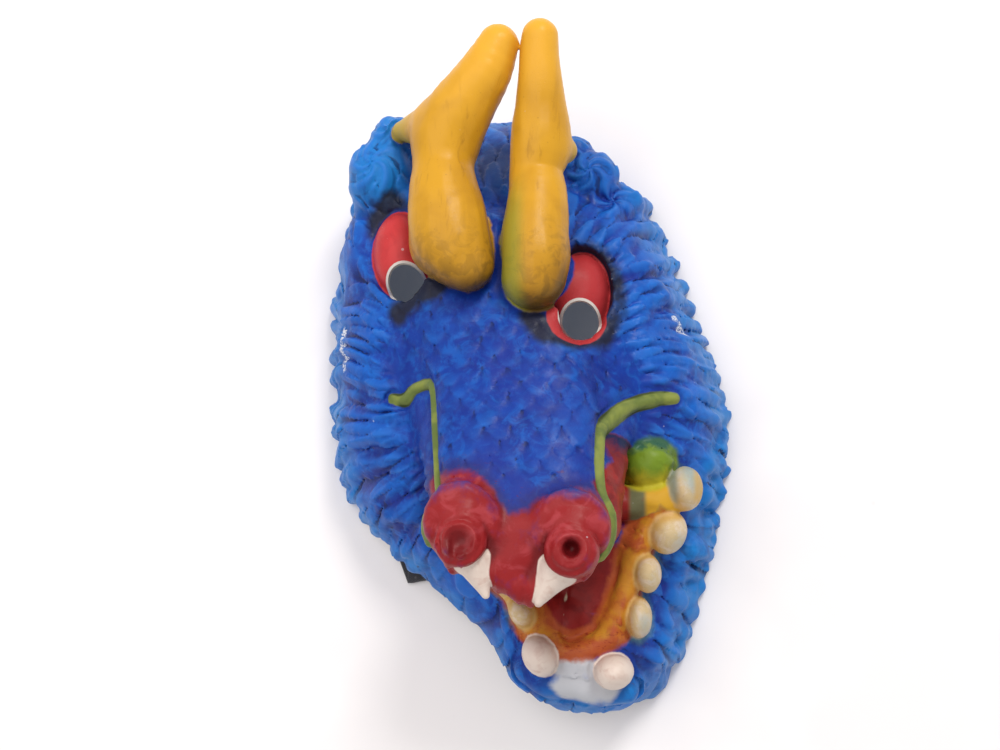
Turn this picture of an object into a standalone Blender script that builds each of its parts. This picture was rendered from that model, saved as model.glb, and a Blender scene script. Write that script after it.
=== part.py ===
"""A latex dragon mask, lying face up on its rim: one hollow casting and its elastic head strap.

The free form is sculpted in a block of signed distances, as clay is: forms are added and carved
with soft joints. Its coordinates are shares of the face's length, in steps of a 260th, so that
one step is a millimetre at the real size. +X is the photograph's right, +Y runs from chin to
crown and +Z out of the face.
"""

import math
from dataclasses import dataclass

import bmesh
import bpy
import numpy as np
import openvdb
from mathutils import Euler, Vector

# Driving sizes, in metres.
FACE_LENGTH = 0.260
WALL = 0.0022
EYE_HOLE_DIAMETER = 0.0150
STRAP_WIDTH = 0.0250
STRAP_THICKNESS = 0.0012
STRAP_RISE = 0.0050
STRAP_RISE_LENGTH = 0.0100
STRAP_WALL_GAP = 0.0020
STRAP_LAYER_GAP = 0.0008

# One sculpting step: a 260th of the face's length.
STEP = FACE_LENGTH / 260.0

# How fine the clay is, in sculpting steps, and how many triangles its two surfaces keep.
GRAIN = 1.8
SKIN_TRIANGLES = 7450
CORE_TRIANGLES = 1500

# How far below the table the clay is modelled, in sculpting steps, before it is trimmed.
BELOW = 6.0

# The strap follows the left side of the rim down, folds back upwards, then turns to the right
# side. Its outer edge starts level with a place on the rim's outline and keeps a gap from the
# wall. Each fold is its place along that edge or the length since the fold before, in steps,
# the direction of its crease (along, across), and +1 up or -1 down.
STRAP_EDGE_START = (-70.7, -32.0)
STRAP_HEADING = (0.36, -0.933)
STRAP_FOLDS = [(61.0, (0.195, 0.981), 1), (66.5, (0.717, 0.697), -1)]
STRAP_END_X = 87.0
STRAP_SPANS = 16
BEND_SPANS = 6
RISE_SPANS = 4

FAR = 1.0e3


def smooth_min(a, b, blend):
    """The lesser of two distances, rounded over where they are within blend of each other."""
    if blend <= 0:
        return np.minimum(a, b)
    near = np.maximum(blend - np.abs(a - b), 0.0) / blend
    return np.minimum(a, b) - near * near * blend * 0.25


def curve_through(points, samples):
    """A smooth open curve through rows of numbers (Catmull-Rom), with samples in each span."""
    rows = np.asarray(points, float)
    ends = np.vstack([2 * rows[0] - rows[1], rows, 2 * rows[-1] - rows[-2]])
    made = []
    for i in range(len(rows) - 1):
        p0, p1, p2, p3 = ends[i : i + 4]
        for t in np.linspace(0, 1, samples, endpoint=False):
            made.append(
                0.5
                * (
                    2 * p1
                    + (p2 - p0) * t
                    + (2 * p0 - 5 * p1 + 4 * p2 - p3) * t * t
                    + (3 * p1 - p0 - 3 * p2 + p3) * t**3
                )
            )
    made.append(rows[-1])
    return np.array(made)


@dataclass
class Ball:
    """An ellipsoid: centre, three radii, and turns about X, Y and Z in degrees."""

    centre: tuple
    radii: tuple
    turn: tuple = (0, 0, 0)

    def box(self):
        reach = max(self.radii)
        centre = np.array(self.centre, float)
        return centre - reach, centre + reach

    def distance(self, x, y, z):
        turn = np.array(Euler([math.radians(a) for a in self.turn]).to_matrix().transposed())
        place = [x - self.centre[0], y - self.centre[1], z - self.centre[2]]
        local = [sum(turn[i, j] * place[j] for j in range(3)) for i in range(3)]
        scaled = np.sqrt(sum((local[i] / self.radii[i]) ** 2 for i in range(3)))
        slope = np.sqrt(sum((local[i] / self.radii[i] ** 2) ** 2 for i in range(3)))
        return scaled * (scaled - 1.0) / np.maximum(slope, 1e-6)


@dataclass
class Rod:
    """A round-ended rod through points, each (x, y, z, radius)."""

    points: object

    def box(self):
        rows = np.asarray(self.points, float)
        reach = rows[:, 3:4]
        return (rows[:, :3] - reach).min(0), (rows[:, :3] + reach).max(0)

    def distance(self, x, y, z):
        best = None
        rows = np.asarray(self.points, float)
        for a, b in zip(rows[:-1], rows[1:]):
            along = b[:3] - a[:3]
            length = max(float(along @ along), 1e-9)
            t = ((x - a[0]) * along[0] + (y - a[1]) * along[1] + (z - a[2]) * along[2]) / length
            t = np.clip(t, 0.0, 1.0)
            gap = (
                (x - a[0] - t * along[0]) ** 2
                + (y - a[1] - t * along[1]) ** 2
                + (z - a[2] - t * along[2]) ** 2
            )
            near = np.sqrt(gap) - (a[3] + (b[3] - a[3]) * t)
            best = near if best is None else np.minimum(best, near)
        return best


@dataclass
class Beam:
    """A tapering beam of rounded-box section, from start to end, with (half width, half height) at each."""

    start: tuple
    end: tuple
    start_size: tuple
    end_size: tuple
    nose: float
    power: float = 3.4

    def box(self):
        ends = np.array([self.start, self.end], float)
        reach = max(*self.start_size, *self.end_size) + self.nose
        return ends.min(0) - reach, ends.max(0) + reach

    def distance(self, x, y, z):
        start, end = np.array(self.start, float), np.array(self.end, float)
        length = np.linalg.norm(end - start)
        along = (end - start) / length
        side = np.cross(along, (0, 0, 1.0))
        side /= np.linalg.norm(side)
        up = np.cross(side, along)
        place = [x - start[0], y - start[1], z - start[2]]
        u = sum(place[i] * along[i] for i in range(3))
        v = sum(place[i] * side[i] for i in range(3))
        w = sum(place[i] * up[i] for i in range(3))
        t = np.clip(u / length, 0.0, 1.0)
        wide = self.start_size[0] + (self.end_size[0] - self.start_size[0]) * t
        high = self.start_size[1] + (self.end_size[1] - self.start_size[1]) * t
        past = np.maximum(u - length, 0.0) / self.nose
        before = np.maximum(-u, 0.0) / self.nose
        total = (
            np.abs(v / wide) ** self.power
            + np.abs(w / high) ** self.power
            + past**self.power
            + before**self.power
        )
        return (total ** (1 / self.power) - 1.0) * np.minimum(wide, high)


class Clay:
    """A block of space that holds, at each grid point, the signed distance to the sculpted surface."""

    def __init__(self, low, high, grain):
        self.grain = grain
        self.axes = [np.arange(a, b + grain, grain, dtype=np.float32) for a, b in zip(low, high)]
        self.value = np.full([len(a) for a in self.axes], FAR, np.float32)

    def window(self, box, margin):
        """The slices of the block round a box, and the open coordinate arrays in them."""
        cut = []
        for axis, low, high in zip(self.axes, box[0] - margin, box[1] + margin):
            first, last = np.searchsorted(axis, [low, high])
            cut.append(slice(max(int(first) - 1, 0), int(last) + 1))
        x, y, z = (axis[s] for axis, s in zip(self.axes, cut))
        return tuple(cut), x[:, None, None], y[None, :, None], z[None, None, :]

    def add(self, shape, blend=0.0):
        cut, x, y, z = self.window(shape.box(), blend + 9.0)
        self.value[cut] = smooth_min(self.value[cut], shape.distance(x, y, z), blend)

    def carve(self, shape, blend=0.0):
        cut, x, y, z = self.window(shape.box(), blend + 9.0)
        self.value[cut] = -smooth_min(-self.value[cut], shape.distance(x, y, z), blend)

    def sampled(self, points):
        """The distances at rows of points, read between the grid's points."""
        place = [(points[:, i] - self.axes[i][0]) / self.grain for i in range(3)]
        cell = [np.clip(p.astype(int), 0, len(a) - 2) for p, a in zip(place, self.axes)]
        share = [p - c for p, c in zip(place, cell)]
        total = 0.0
        for corner in range(8):
            step = [(corner >> i) & 1 for i in range(3)]
            weight = 1.0
            for s, on in zip(share, step):
                weight = weight * (s if on else 1 - s)
            total = total + weight * self.value[tuple(c + on for c, on in zip(cell, step))]
        return total

    def settled(self, points, rounds=6):
        """Rows of points moved to the nearest place on the surface."""
        points = np.array(points, float)
        reach = np.eye(3) * self.grain
        for _ in range(rounds):
            slope = np.stack([self.sampled(points + r) - self.sampled(points - r) for r in reach], axis=1)
            slope /= np.maximum(np.linalg.norm(slope, axis=1, keepdims=True), 1e-6)
            points -= slope * np.clip(self.sampled(points), -4, 4)[:, None]
        return points

    def height(self, x, y):
        """How high the surface stands over a point of the floor."""
        i = int(round((x - self.axes[0][0]) / self.grain))
        j = int(round((y - self.axes[1][0]) / self.grain))
        column = self.value[i, j]
        inside = np.nonzero(column < 0)[0]
        if not len(inside):
            return 0.0
        k = int(inside[-1])
        share = column[k] / (column[k] - column[k + 1])
        return float(self.axes[2][k] + share * self.grain)


# The rim's outline on the floor, as points round it from the right ear, anticlockwise.
RIM = [
    (94, -20), (91, -4), (85, 11), (81, 25), (76, 37), (73, 51), (68, 65), (63.5, 78), (56, 88),
    (49, 96), (41.5, 103.5), (30, 111.5), (12, 122), (-8, 123), (-28, 120), (-46, 114), (-60, 103),
    (-67, 86), (-72, 70), (-75, 58), (-74, 42), (-73, 22), (-74, 2), (-73.5, -19), (-71, -35),
    (-66, -49), (-57, -65), (-45, -77), (-30, -92), (-14, -107), (-2, -121), (10, -135),
    (22, -141), (34, -143), (50, -141), (66, -134), (70.5, -123), (73, -112), (77.5, -95),
    (82, -78), (85.5, -65), (88, -50), (92, -35),
]
RIM_CENTRE = (8, -8)

# How high the face stands over the floor, from chin to crown, as (y, height).
FACE_HEIGHT = [(-145, 40), (-110, 44), (-70, 52), (-25, 60), (30, 66), (70, 62), (100, 52), (125, 40)]

# The floor-side cut: the rim is trimmed flat, and beyond this line it slopes up to the chin.
LIFT_FROM = (66.0, -135.0)
LIFT_TO = (-64.0, -54.0)
LIFT_SLOPE = 1.0


def head_form(clay):
    """The head's dome, from the rim's outline and the height of the face."""
    closed = curve_through(RIM[-1:] + RIM + RIM[:2], 6)
    away = closed - RIM_CENTRE
    angle = np.unwrap(np.arctan2(away[:, 1], away[:, 0]))
    radius = np.linalg.norm(away, axis=1)
    x, y, z = (clay.axes[0][:, None], clay.axes[1][None, :], clay.axes[2])
    here = np.arctan2(y - RIM_CENTRE[1], x - RIM_CENTRE[0])
    here = angle[0] + np.mod(here - angle[0], 2 * np.pi)
    edge = np.interp(here, angle, radius)
    share = np.hypot(x - RIM_CENTRE[0], y - RIM_CENTRE[1]) / edge
    high = curve_through(FACE_HEIGHT, 8)
    height = np.interp(np.broadcast_to(y, share.shape), high[:, 0], high[:, 1])
    form = share[:, :, None] ** 3.0 + (np.abs(z)[None, None, :] / height[:, :, None]) ** 2.2
    form = form ** (1 / 2.4) - 1.0
    slope = np.sqrt(sum(g * g for g in np.gradient(form, clay.grain)))
    clay.value[:] = form / np.maximum(slope, 1e-3)
    clay.add(Ball((33, -112, 20), (33, 29, 26)), 10)


# The mouth's hollow, as (centre, radii) of the forms that carve it.
MOUTH_HOLLOWS = [((32, -54, 66), (45, 24, 30)), ((33, -86, 64), (28, 28, 30)), ((32, -107, 62), (19, 17, 26))]

# The gum that carries the lower teeth, from the right corner round to the left, with its radius.
GUM = [
    (70, -56, 45, 5.5), (62, -68, 43, 5), (57, -78, 43, 4.8), (53, -92, 42, 4.6), (48.5, -104, 42, 4.6),
    (41, -113, 41, 4.6), (30, -117, 41, 4.8), (21, -113, 41, 4.6), (13.5, -104, 41, 4.6),
    (7.5, -94, 42, 4.6), (1, -85, 42, 4.6), (-8, -72, 43, 4.6),
]

# The lower teeth, as (centre, radii, turn about Z in degrees).
LOWER_TEETH = [
    ((77.5, -51, 46), (7.0, 9.0, 11), 0),
    ((70.0, -68.5, 43), (7.6, 9.0, 11), -18),
    ((61.5, -85.0, 43), (5.6, 7.8, 11), 0),
    ((58.0, -102.5, 42), (5.0, 8.2, 11), 0),
    ((10.0, -100.5, 42), (4.8, 7.0, 11), 30),
    ((3.0, -88.0, 42), (4.8, 7.0, 11), 28),
    ((17.5, -117.8, 46), (6.6, 8.4, 13), 28),
    ((47.4, -123.8, 46), (7.9, 6.9, 13), 12),
]


def mouth(clay):
    """The open mouth, with the tongue, gums and lower teeth in it."""
    for centre, radii in MOUTH_HOLLOWS:
        clay.carve(Ball(centre, radii), 5)
    clay.add(Ball((37, -84, 30), (15, 30, 11), (8, 0, 4)), 5)
    clay.add(Ball((27, -104, 36), (8, 9, 6)), 4)
    clay.add(Rod(curve_through(GUM, 3)), 4)
    clay.add(Rod([(12, -124, 35, 5), (20, -129, 36, 5), (31, -129, 37, 4.6), (42, -133, 36, 5), (52, -132, 33, 5)]), 5)
    for centre, radii, turn in LOWER_TEETH:
        clay.add(Ball(centre, radii, (0, 0, turn)), 1.2)
    clay.add(Ball((62.5, -41, 44), (10, 9.5, 11)), 2)
    clay.add(Rod([(50, -56, 43, 7.0), (66, -55.5, 45, 6.2), (74, -54, 46, 6)]), 2)


def snout(clay):
    """The upper jaw: a broad flat-topped beam that ends in the two nostrils."""
    clay.add(Beam((5, 24, 42), (15, -68, 74), (35, 26), (31.5, 24), 15), 11)
    for side in (-1, 1):
        jaw = [(9 + 36 * side, -4, 50, 9), (13 + 33 * side, -36, 60, 8), (16 + 27 * side, -66, 74, 8)]
        clay.add(Rod(curve_through(jaw, 3)), 7)
    clay.add(Ball((-7.5, -67, 92), (14.5, 15, 14)), 5)
    clay.add(Ball((33.5, -70, 91), (14.5, 15, 14)), 5)
    clay.add(Ball((13, -76, 89), (15, 13, 10)), 5)
    lip = [(-7, -79, 92, 7), (5, -84.5, 92, 6.2), (17.9, -92, 90, 5.2), (25, -86.5, 92, 6.2), (34.4, -82, 93, 7)]
    clay.add(Rod(lip), 4)
    for centre, radius in (((-7.3, -66.5, 101), 11.0), ((33.3, -69.5, 100), 11.4)):
        hood = [
            (centre[0] + radius * math.cos(a), centre[1] + radius * math.sin(a), centre[2] - 3 * abs(math.cos(a)), 3.2)
            for a in np.radians(np.linspace(-20, 200, 12))
        ]
        clay.add(Rod(hood), 2)
    clay.add(Ball((-7, -74, 100), (9.6, 9.8, 9.0)), 0.8)
    clay.add(Ball((33.5, -77.8, 100), (10.4, 9.8, 9.0)), 0.8)
    clay.carve(Ball((-6.6, -74.6, 110.5), (5.8, 6.0, 5)), 2)
    clay.carve(Ball((33.8, -77, 110), (3.2, 3.4, 9)), 2.5)


def fangs(clay):
    """The two fangs of the upper jaw."""
    clay.add(Rod([(-1.8, -83, 92, 5.8), (0.6, -89, 92, 4.4), (1.5, -92.6, 91, 2.6)]), 1)
    clay.add(Rod([(27.6, -85.5, 93, 6.6), (23.9, -91.3, 92, 5.0), (21.2, -96, 91, 3.0)]), 1)


# The horns' centre lines with their radii. The photograph's left horn bends at its spur.
HORN_LEFT_STEM = [
    (-8.8, 37.6, 77, 11.4), (-14.6, 46, 76, 15.6), (-16.9, 58, 75, 15.9), (-18.4, 68.6, 74, 14.3),
    (-19.0, 79.2, 73, 12.7), (-18.4, 90.7, 72, 14.0),
]
HORN_LEFT_CROWN = [
    (-18.0, 91.2, 72, 14.2), (-14.0, 99.8, 74, 14.0), (-8.0, 108.3, 76, 12.4), (-0.6, 118.0, 79, 10.8), (4.5, 128.2, 81, 8.5),
]
HORN_RIGHT = [
    (18.4, 31.6, 75, 13.0), (19.3, 39.1, 76, 13.7), (18.9, 48.5, 75, 13.6), (19.6, 57.1, 74, 13.0),
    (20.0, 67.6, 73, 11.8), (19.2, 76.4, 72, 10.9), (20.9, 85.4, 73, 12.2), (21.5, 93.6, 74, 12.0),
    (21.5, 102.7, 76, 10.5), (21.7, 110.9, 79, 9.3), (21.5, 120.9, 81, 8.2), (21.8, 129.9, 83, 7.6),
]
SPUR_LEFT = [(-24.0, 99.0, 69, 10.0), (-38.8, 101.8, 58, 4.4)]
SPUR_RIGHT = [(25.8, 86.0, 71, 8.8), (30.6, 87.0, 67, 5.4)]


def horns(clay):
    """Two horns, each a bulb over the brow, a stem, a spur and a tip."""
    clay.add(Ball((-6, 48, 58), (21, 15, 16)), 6)
    clay.add(Ball((18, 38, 58), (14, 14, 16)), 6)
    clay.add(Rod(curve_through(HORN_LEFT_STEM, 3)), 1.5)
    clay.add(Ball((-21.0, 47.5, 70), (11.8, 13, 12)), 3)
    clay.add(Rod(curve_through(HORN_LEFT_CROWN, 3)), 1.5)
    clay.add(Rod(curve_through(HORN_RIGHT, 3)), 1.5)
    clay.add(Rod(SPUR_LEFT), 5)
    clay.add(Rod(SPUR_RIGHT), 3)


# The eyes' balls: centre, radii and turn.
EYE_LEFT = ((-39.0, 47.5, 49), (12.8, 20.0, 14), (0, -12, 8))
EYE_RIGHT = ((35.0, 27.5, 49), (12.6, 20.0, 14), (0, 12, -8))
EYE_HOLES = [(-36.7, 34.7), (36.0, 16.9)]


def eyes(clay):
    """Each eye bulges from a socket under the brow."""
    for centre, radii, turn in (EYE_LEFT, EYE_RIGHT):
        clay.carve(Ball((centre[0], centre[1], centre[2] + 10), (radii[0] + 2.2, radii[1] + 2.2, 11), turn), 3)
        clay.add(Ball(centre, radii, turn), 0.8)


def lock(clay, start, end, size, tip, bow=0.0):
    """One swept lock of skin laid on the surface, from start to end, bowed sideways."""
    rows = []
    for t in np.linspace(0, 1, 5):
        x = start[0] + (end[0] - start[0]) * t - bow * math.sin(math.pi * t) * (end[1] - start[1])
        y = start[1] + (end[1] - start[1]) * t + bow * math.sin(math.pi * t) * (end[0] - start[0])
        radius = size * (1 - t) + tip * t
        rows.append((x, y, max(clay.height(x, y) - LOCK_SINK * radius, radius), radius))
    clay.add(Rod(rows), 2.0)


# The cheeks' locks run from these inner lines to the rim, with how many of them there are.
CHEEKS = [
    ([(-50, 24), (-44, -8), (-36, -30), (-33, -58), (-26, -78)], [(-77, 44), (-77, 4), (-74, -34), (-60, -62), (-36, -86)], 13),
    ([(44, 58), (56, 36), (60, 12), (66, -8), (84, -22)], [(62, 84), (76, 50), (84, 24), (92, 0), (97, -20)], 11),
    ([(86, -34), (80, -66), (70, -84), (66, -104), (60, -122)], [(95, -36), (90, -62), (85, -80), (79, -100), (71, -124)], 10),
]
LOCK_SIZE = 5.0
LOCK_TIP = 3.4
LOCK_SINK = 0.62

# The frill's lobes along the rim, as runs of points on it, with the lobe's radius and number.
FRILL = [
    ([(66, 78), (78, 38), (87, 12), (97, -20), (95, -40), (88, -72), (80, -100), (72, -126)], 5.2, 22),
    ([(-64, 100), (-73, 74), (-76, 40), (-75, 8), (-75, -20), (-68, -48)], 4.2, 17),
]


def relief(clay):
    """The tufts, locks, cheek folds and frill that the skin is modelled into."""
    clay.add(Ball((-50, 86, 40), (15.0, 17, 17)), 6)
    clay.add(Ball((-45, 101, 44), (10, 11, 11)), 3)
    for centre, size in (((50, 72, 32), 9), ((41, 83, 40), 10), ((32, 93, 36), 9), ((54, 57, 32), 8)):
        clay.add(Ball(centre, (size, size * 1.15, size), (0, 0, -25)), 3)
    clay.add(Ball((-36, 10, 44), (15, 13, 14)), 4)
    clay.add(Ball((-57, 52, 34), (9, 22, 14), (0, 0, 8)), 4)
    clay.add(Ball((54, 30, 36), (10, 24, 16), (0, 0, -16)), 5)
    for inner, outer, count in CHEEKS:
        inside, outside = curve_through(inner, 8), curve_through(outer, 8)
        for i in range(count):
            t = (i + 0.5) / count
            start = inside[int(t * (len(inside) - 1))]
            end = outside[int(t * (len(outside) - 1))]
            size = LOCK_SIZE * (1.0 + 0.28 * math.sin(2.4 * i))
            lock(clay, start, end, size, LOCK_TIP, 0.16 * math.sin(1.7 * i + 0.6))
    for run, size, count in FRILL:
        line = curve_through(run, 8)
        for i in range(count):
            x, y = line[int((i + 0.5) / count * (len(line) - 1))]
            radius = size * (1.0 + 0.22 * math.sin(2.1 * i))
            toward = np.array([x, y]) - RIM_CENTRE
            toward = toward / np.linalg.norm(toward)
            x, y = np.array([x, y]) - (radius + 0.4) * toward
            clay.add(Ball((x, y, 7 + 2 * math.sin(1.3 * i)), (radius, radius, 8)), 2)


WHISKER_RIGHT = [
    (74.7, -14.8, 52, 1.7), (65.7, -15.7, 55, 2.8), (57.6, -18.1, 58, 2.8), (50.8, -22.8, 66, 3.1),
    (46.2, -30.5, 75, 3.0), (43.9, -38.8, 80, 2.7), (43.2, -48.8, 84, 2.4), (45.0, -57.3, 87, 2.3),
    (47.4, -64.2, 90, 2.2), (47.6, -71.8, 92, 1.9), (44.0, -80.0, 94, 1.6),
]
WHISKER_LEFT = [
    (-41.2, -14.5, 54, 1.7), (-33.8, -14.0, 57, 2.5), (-30.6, -10.9, 60, 2.0), (-24.4, -9.9, 68, 1.7),
    (-24.1, -17.3, 73, 1.7), (-25.0, -29.9, 77, 2.0), (-25.2, -42.0, 80, 1.9), (-24.8, -53.9, 84, 1.9),
    (-21.6, -63.8, 89, 1.9), (-16.4, -72.6, 94, 1.6),
]
WHISKER_SINK = 0.25


def whiskers(clay):
    """The flat strips that run down the snout's two sides and turn out over the cheeks."""
    for whisker in (WHISKER_RIGHT, WHISKER_LEFT):
        rows = curve_through(whisker, 3)
        rows[:, :3] = clay.settled(rows[:, :3])
        rows[:, 2] -= WHISKER_SINK * rows[:, 3]
        clay.add(Rod(rows), 1)


def sculpt(grain):
    """The outside of the whole mask, as clay."""
    clay = Clay((-92, -156, -8), (112, 150, 124), grain)
    head_form(clay)
    relief(clay)
    mouth(clay)
    snout(clay)
    fangs(clay)
    eyes(clay)
    horns(clay)
    whiskers(clay)
    return clay


def surface(clay, level):
    """Points and quads of the surface where the clay's distance is level."""
    grid = openvdb.FloatGrid(FAR)
    grid.copyFromArray(clay.value)
    points, _, quads = grid.convertToPolygons(level, 0.0)
    low = np.array([axis[0] for axis in clay.axes])
    return points * clay.grain + low, quads


def whole_pieces(quads):
    """Each point's piece number, for the pieces that the quads fall into."""
    label = np.arange(int(quads.max()) + 1)
    while True:
        least = label[quads].min(axis=1)
        next_label = label.copy()
        np.minimum.at(next_label, quads.ravel(), np.repeat(least, 4))
        next_label = next_label[next_label]
        if np.array_equal(next_label, label):
            return label
        label = next_label


def mesh_object(name, points, faces, scale=1.0):
    """A mesh object from points and faces."""
    mesh = bpy.data.meshes.new(name)
    mesh.from_pydata((np.asarray(points) * scale).tolist(), [], [list(map(int, face)) for face in faces])
    obj = bpy.data.objects.new(name, mesh)
    bpy.context.collection.objects.link(obj)
    return obj


def helper(obj):
    """Keeps a cutter out of the render."""
    obj.hide_render = True
    obj.display_type = "WIRE"
    return obj


def thinned(obj, faces):
    """Reduces the mesh to about this many triangles."""
    modifier = obj.modifiers.new("thin", "DECIMATE")
    modifier.ratio = faces / (2.0 * len(obj.data.polygons))
    modifier.use_collapse_triangulate = True


def cut_by(obj, cutter):
    modifier = obj.modifiers.new("cut", "BOOLEAN")
    modifier.operation = "DIFFERENCE"
    modifier.solver = "EXACT"
    modifier.object = cutter


def casting():
    """The latex skin: the sculpted form, less a core that lies one wall inside it."""
    clay = sculpt(GRAIN)
    clay.value = np.maximum(clay.value, (-BELOW - clay.axes[2])[None, None, :]).astype(np.float32)
    points, quads = surface(clay, 0.0)
    skin = mesh_object("mask_shell", points * STEP, quads)
    thinned(skin, SKIN_TRIANGLES)

    points, quads = surface(clay, -WALL / STEP)
    piece = whole_pieces(quads)
    quads = quads[piece[quads[:, 0]] == piece[int(points[:, 2].argmin())]]
    kept, index = np.unique(quads, return_inverse=True)
    core = helper(mesh_object("core", points[kept] * STEP, index.reshape(quads.shape)))
    thinned(core, CORE_TRIANGLES)
    return skin, core


def block(name, centre, sides):
    """A plain box to cut with, in sculpting steps."""
    bpy.ops.mesh.primitive_cube_add(size=1.0, location=Vector(centre) * STEP)
    obj = bpy.context.object
    obj.name = name
    obj.scale = Vector(sides) * STEP
    return helper(obj)


def floor_cutter():
    """All that lies under the table."""
    return block("floor_cutter", (0, 0, -50), (500, 500, 100))


def lift_cutter():
    """What is trimmed off under the chin, up to a plane that rises outwards from the line of the lift."""
    start, end = Vector((*LIFT_FROM, 0)), Vector((*LIFT_TO, 0))
    along = (end - start).normalized()
    outward = Vector((along.y, -along.x, 0)) if along.x > 0 else Vector((-along.y, along.x, 0))
    rise = math.atan(LIFT_SLOPE)
    down = outward * math.sin(rise) - Vector((0, 0, 1)) * math.cos(rise)
    cutter = block("lift_cutter", (start + end) / 2 + down * 60, (1, 1, 1))
    cutter.scale = Vector((300, 300, 120)) * STEP
    cutter.rotation_mode = "QUATERNION"
    cutter.rotation_quaternion = down.to_track_quat("-Z", "Y")
    return cutter


def eye_cutter(name, place):
    """The see-through hole of one eye."""
    x, y = place
    bpy.ops.mesh.primitive_cylinder_add(
        vertices=32, radius=EYE_HOLE_DIAMETER / 2, depth=40 * STEP, location=(x * STEP, y * STEP, 46 * STEP)
    )
    obj = bpy.context.object
    obj.name = name
    return helper(obj)


def folded(rows, place, direction, radius, side):
    """Folds the strap's points back over a bend that starts at a line across it.

    rows are (along, across, height). place is where the line meets the strap's middle, and side
    is +1 to fold upwards and -1 to fold downwards.
    """
    line = Vector(direction).normalized()
    normal = np.array([line.y, -line.x])
    depth = (rows[:, 0] - place) * normal[0] + rows[:, 1] * normal[1]
    angle = np.clip(depth / radius, 0, math.pi)
    beyond = np.maximum(depth - math.pi * radius, 0)
    height = rows[:, 2] * side
    new_depth = np.minimum(depth, 0) + (radius - height) * np.sin(angle) - beyond
    made = rows.copy()
    made[:, :2] += (new_depth - depth)[:, None] * normal
    made[:, 2] = side * (radius - (radius - height) * np.cos(angle))
    return made


def strap():
    """The elastic head strap, flat on the table and folded twice, its two ends raised to the sides."""
    half = STRAP_WIDTH / 2
    bend = (STRAP_THICKNESS + STRAP_LAYER_GAP) / 2
    heading = np.array(STRAP_HEADING) / np.linalg.norm(STRAP_HEADING)
    inward = np.array([-heading[1], heading[0]])
    start = np.array(STRAP_EDGE_START) * STEP + inward * (WALL + STRAP_WALL_GAP + half)
    folds, reached = [], 0.0
    for length, direction, side in STRAP_FOLDS:
        lean = direction[0] / direction[1]
        reached += length * STEP + (half * lean if not folds else math.pi * bend)
        folds.append((reached, direction, side))

    def laid(rows):
        for place, direction, side in reversed(folds):
            rows = folded(rows, place, direction, bend, side)
        across = rows[:, :1] * heading + rows[:, 1:2] * inward + start
        return np.column_stack([across, rows[:, 2]])

    # The last run ends one gap short of the right wall.
    first, second = laid(np.array([[reached + 2 * STRAP_WIDTH, 0, 0], [reached + 3 * STRAP_WIDTH, 0, 0]]))[:, 0]
    room = STRAP_END_X * STEP - WALL - STRAP_WALL_GAP - first
    total = reached + 2 * STRAP_WIDTH + room * STRAP_WIDTH / (second - first)

    mesh = bmesh.new()
    bmesh.ops.create_grid(mesh, x_segments=STRAP_SPANS, y_segments=2, size=1.0)
    for vert in mesh.verts:
        vert.co = Vector(((vert.co.x + 1) / 2 * total, vert.co.y * half, 0))
    cuts = []
    for place, direction, _ in folds:
        line = Vector(direction).normalized()
        normal = Vector((line.y, -line.x, 0))
        for i in range(BEND_SPANS + 1):
            cuts.append((Vector((place, 0, 0)) + normal * math.pi * bend * i / BEND_SPANS, normal))
    for i in range(1, RISE_SPANS + 1):
        up = STRAP_RISE_LENGTH * i / RISE_SPANS
        cuts += [(Vector((x, 0, 0)), Vector((1, 0, 0))) for x in (up, total - up)]
    for place, normal in cuts:
        geometry = mesh.verts[:] + mesh.edges[:] + mesh.faces[:]
        bmesh.ops.bisect_plane(mesh, geom=geometry, plane_co=place, plane_no=normal)
    bmesh.ops.triangulate(mesh, faces=mesh.faces[:])
    rows = np.array([vert.co for vert in mesh.verts])
    left = np.clip(1 - rows[:, 0] / STRAP_RISE_LENGTH, 0, 1)
    right = np.clip(1 - (total - rows[:, 0]) / STRAP_RISE_LENGTH, 0, 1)
    rise = STRAP_RISE * (left**2 * (3 - 2 * left) + right**2 * (3 - 2 * right))
    for vert, place, up in zip(mesh.verts, laid(rows), rise):
        vert.co = Vector((place[0], place[1], place[2] + STRAP_THICKNESS / 2 + up))
    data = bpy.data.meshes.new("elastic_strap")
    mesh.to_mesh(data)
    mesh.free()
    obj = bpy.data.objects.new("elastic_strap", data)
    bpy.context.collection.objects.link(obj)
    solid = obj.modifiers.new("thickness", "SOLIDIFY")
    solid.thickness = STRAP_THICKNESS
    solid.offset = 0.0
    return obj


def finish(obj, name, colour, roughness):
    """Gives the object its own Principled material."""
    material = bpy.data.materials.new(name)
    material.use_nodes = True
    shader = material.node_tree.nodes["Principled BSDF"]
    shader.inputs["Base Color"].default_value = (*colour, 1.0)
    shader.inputs["Roughness"].default_value = roughness
    obj.data.materials.append(material)


def centre_on_origin(visible):
    """Moves everything so that the middle of the whole thing's underside is the origin."""
    bpy.context.view_layer.update()
    graph = bpy.context.evaluated_depsgraph_get()
    corners = np.array(
        [
            obj.matrix_world @ Vector(corner)
            for obj in visible
            for corner in obj.evaluated_get(graph).bound_box
        ]
    )
    low, high = corners.min(axis=0), corners.max(axis=0)
    shift = Vector((-(low[0] + high[0]) / 2, -(low[1] + high[1]) / 2, -low[2]))
    for obj in bpy.data.objects:
        obj.location += shift


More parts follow.
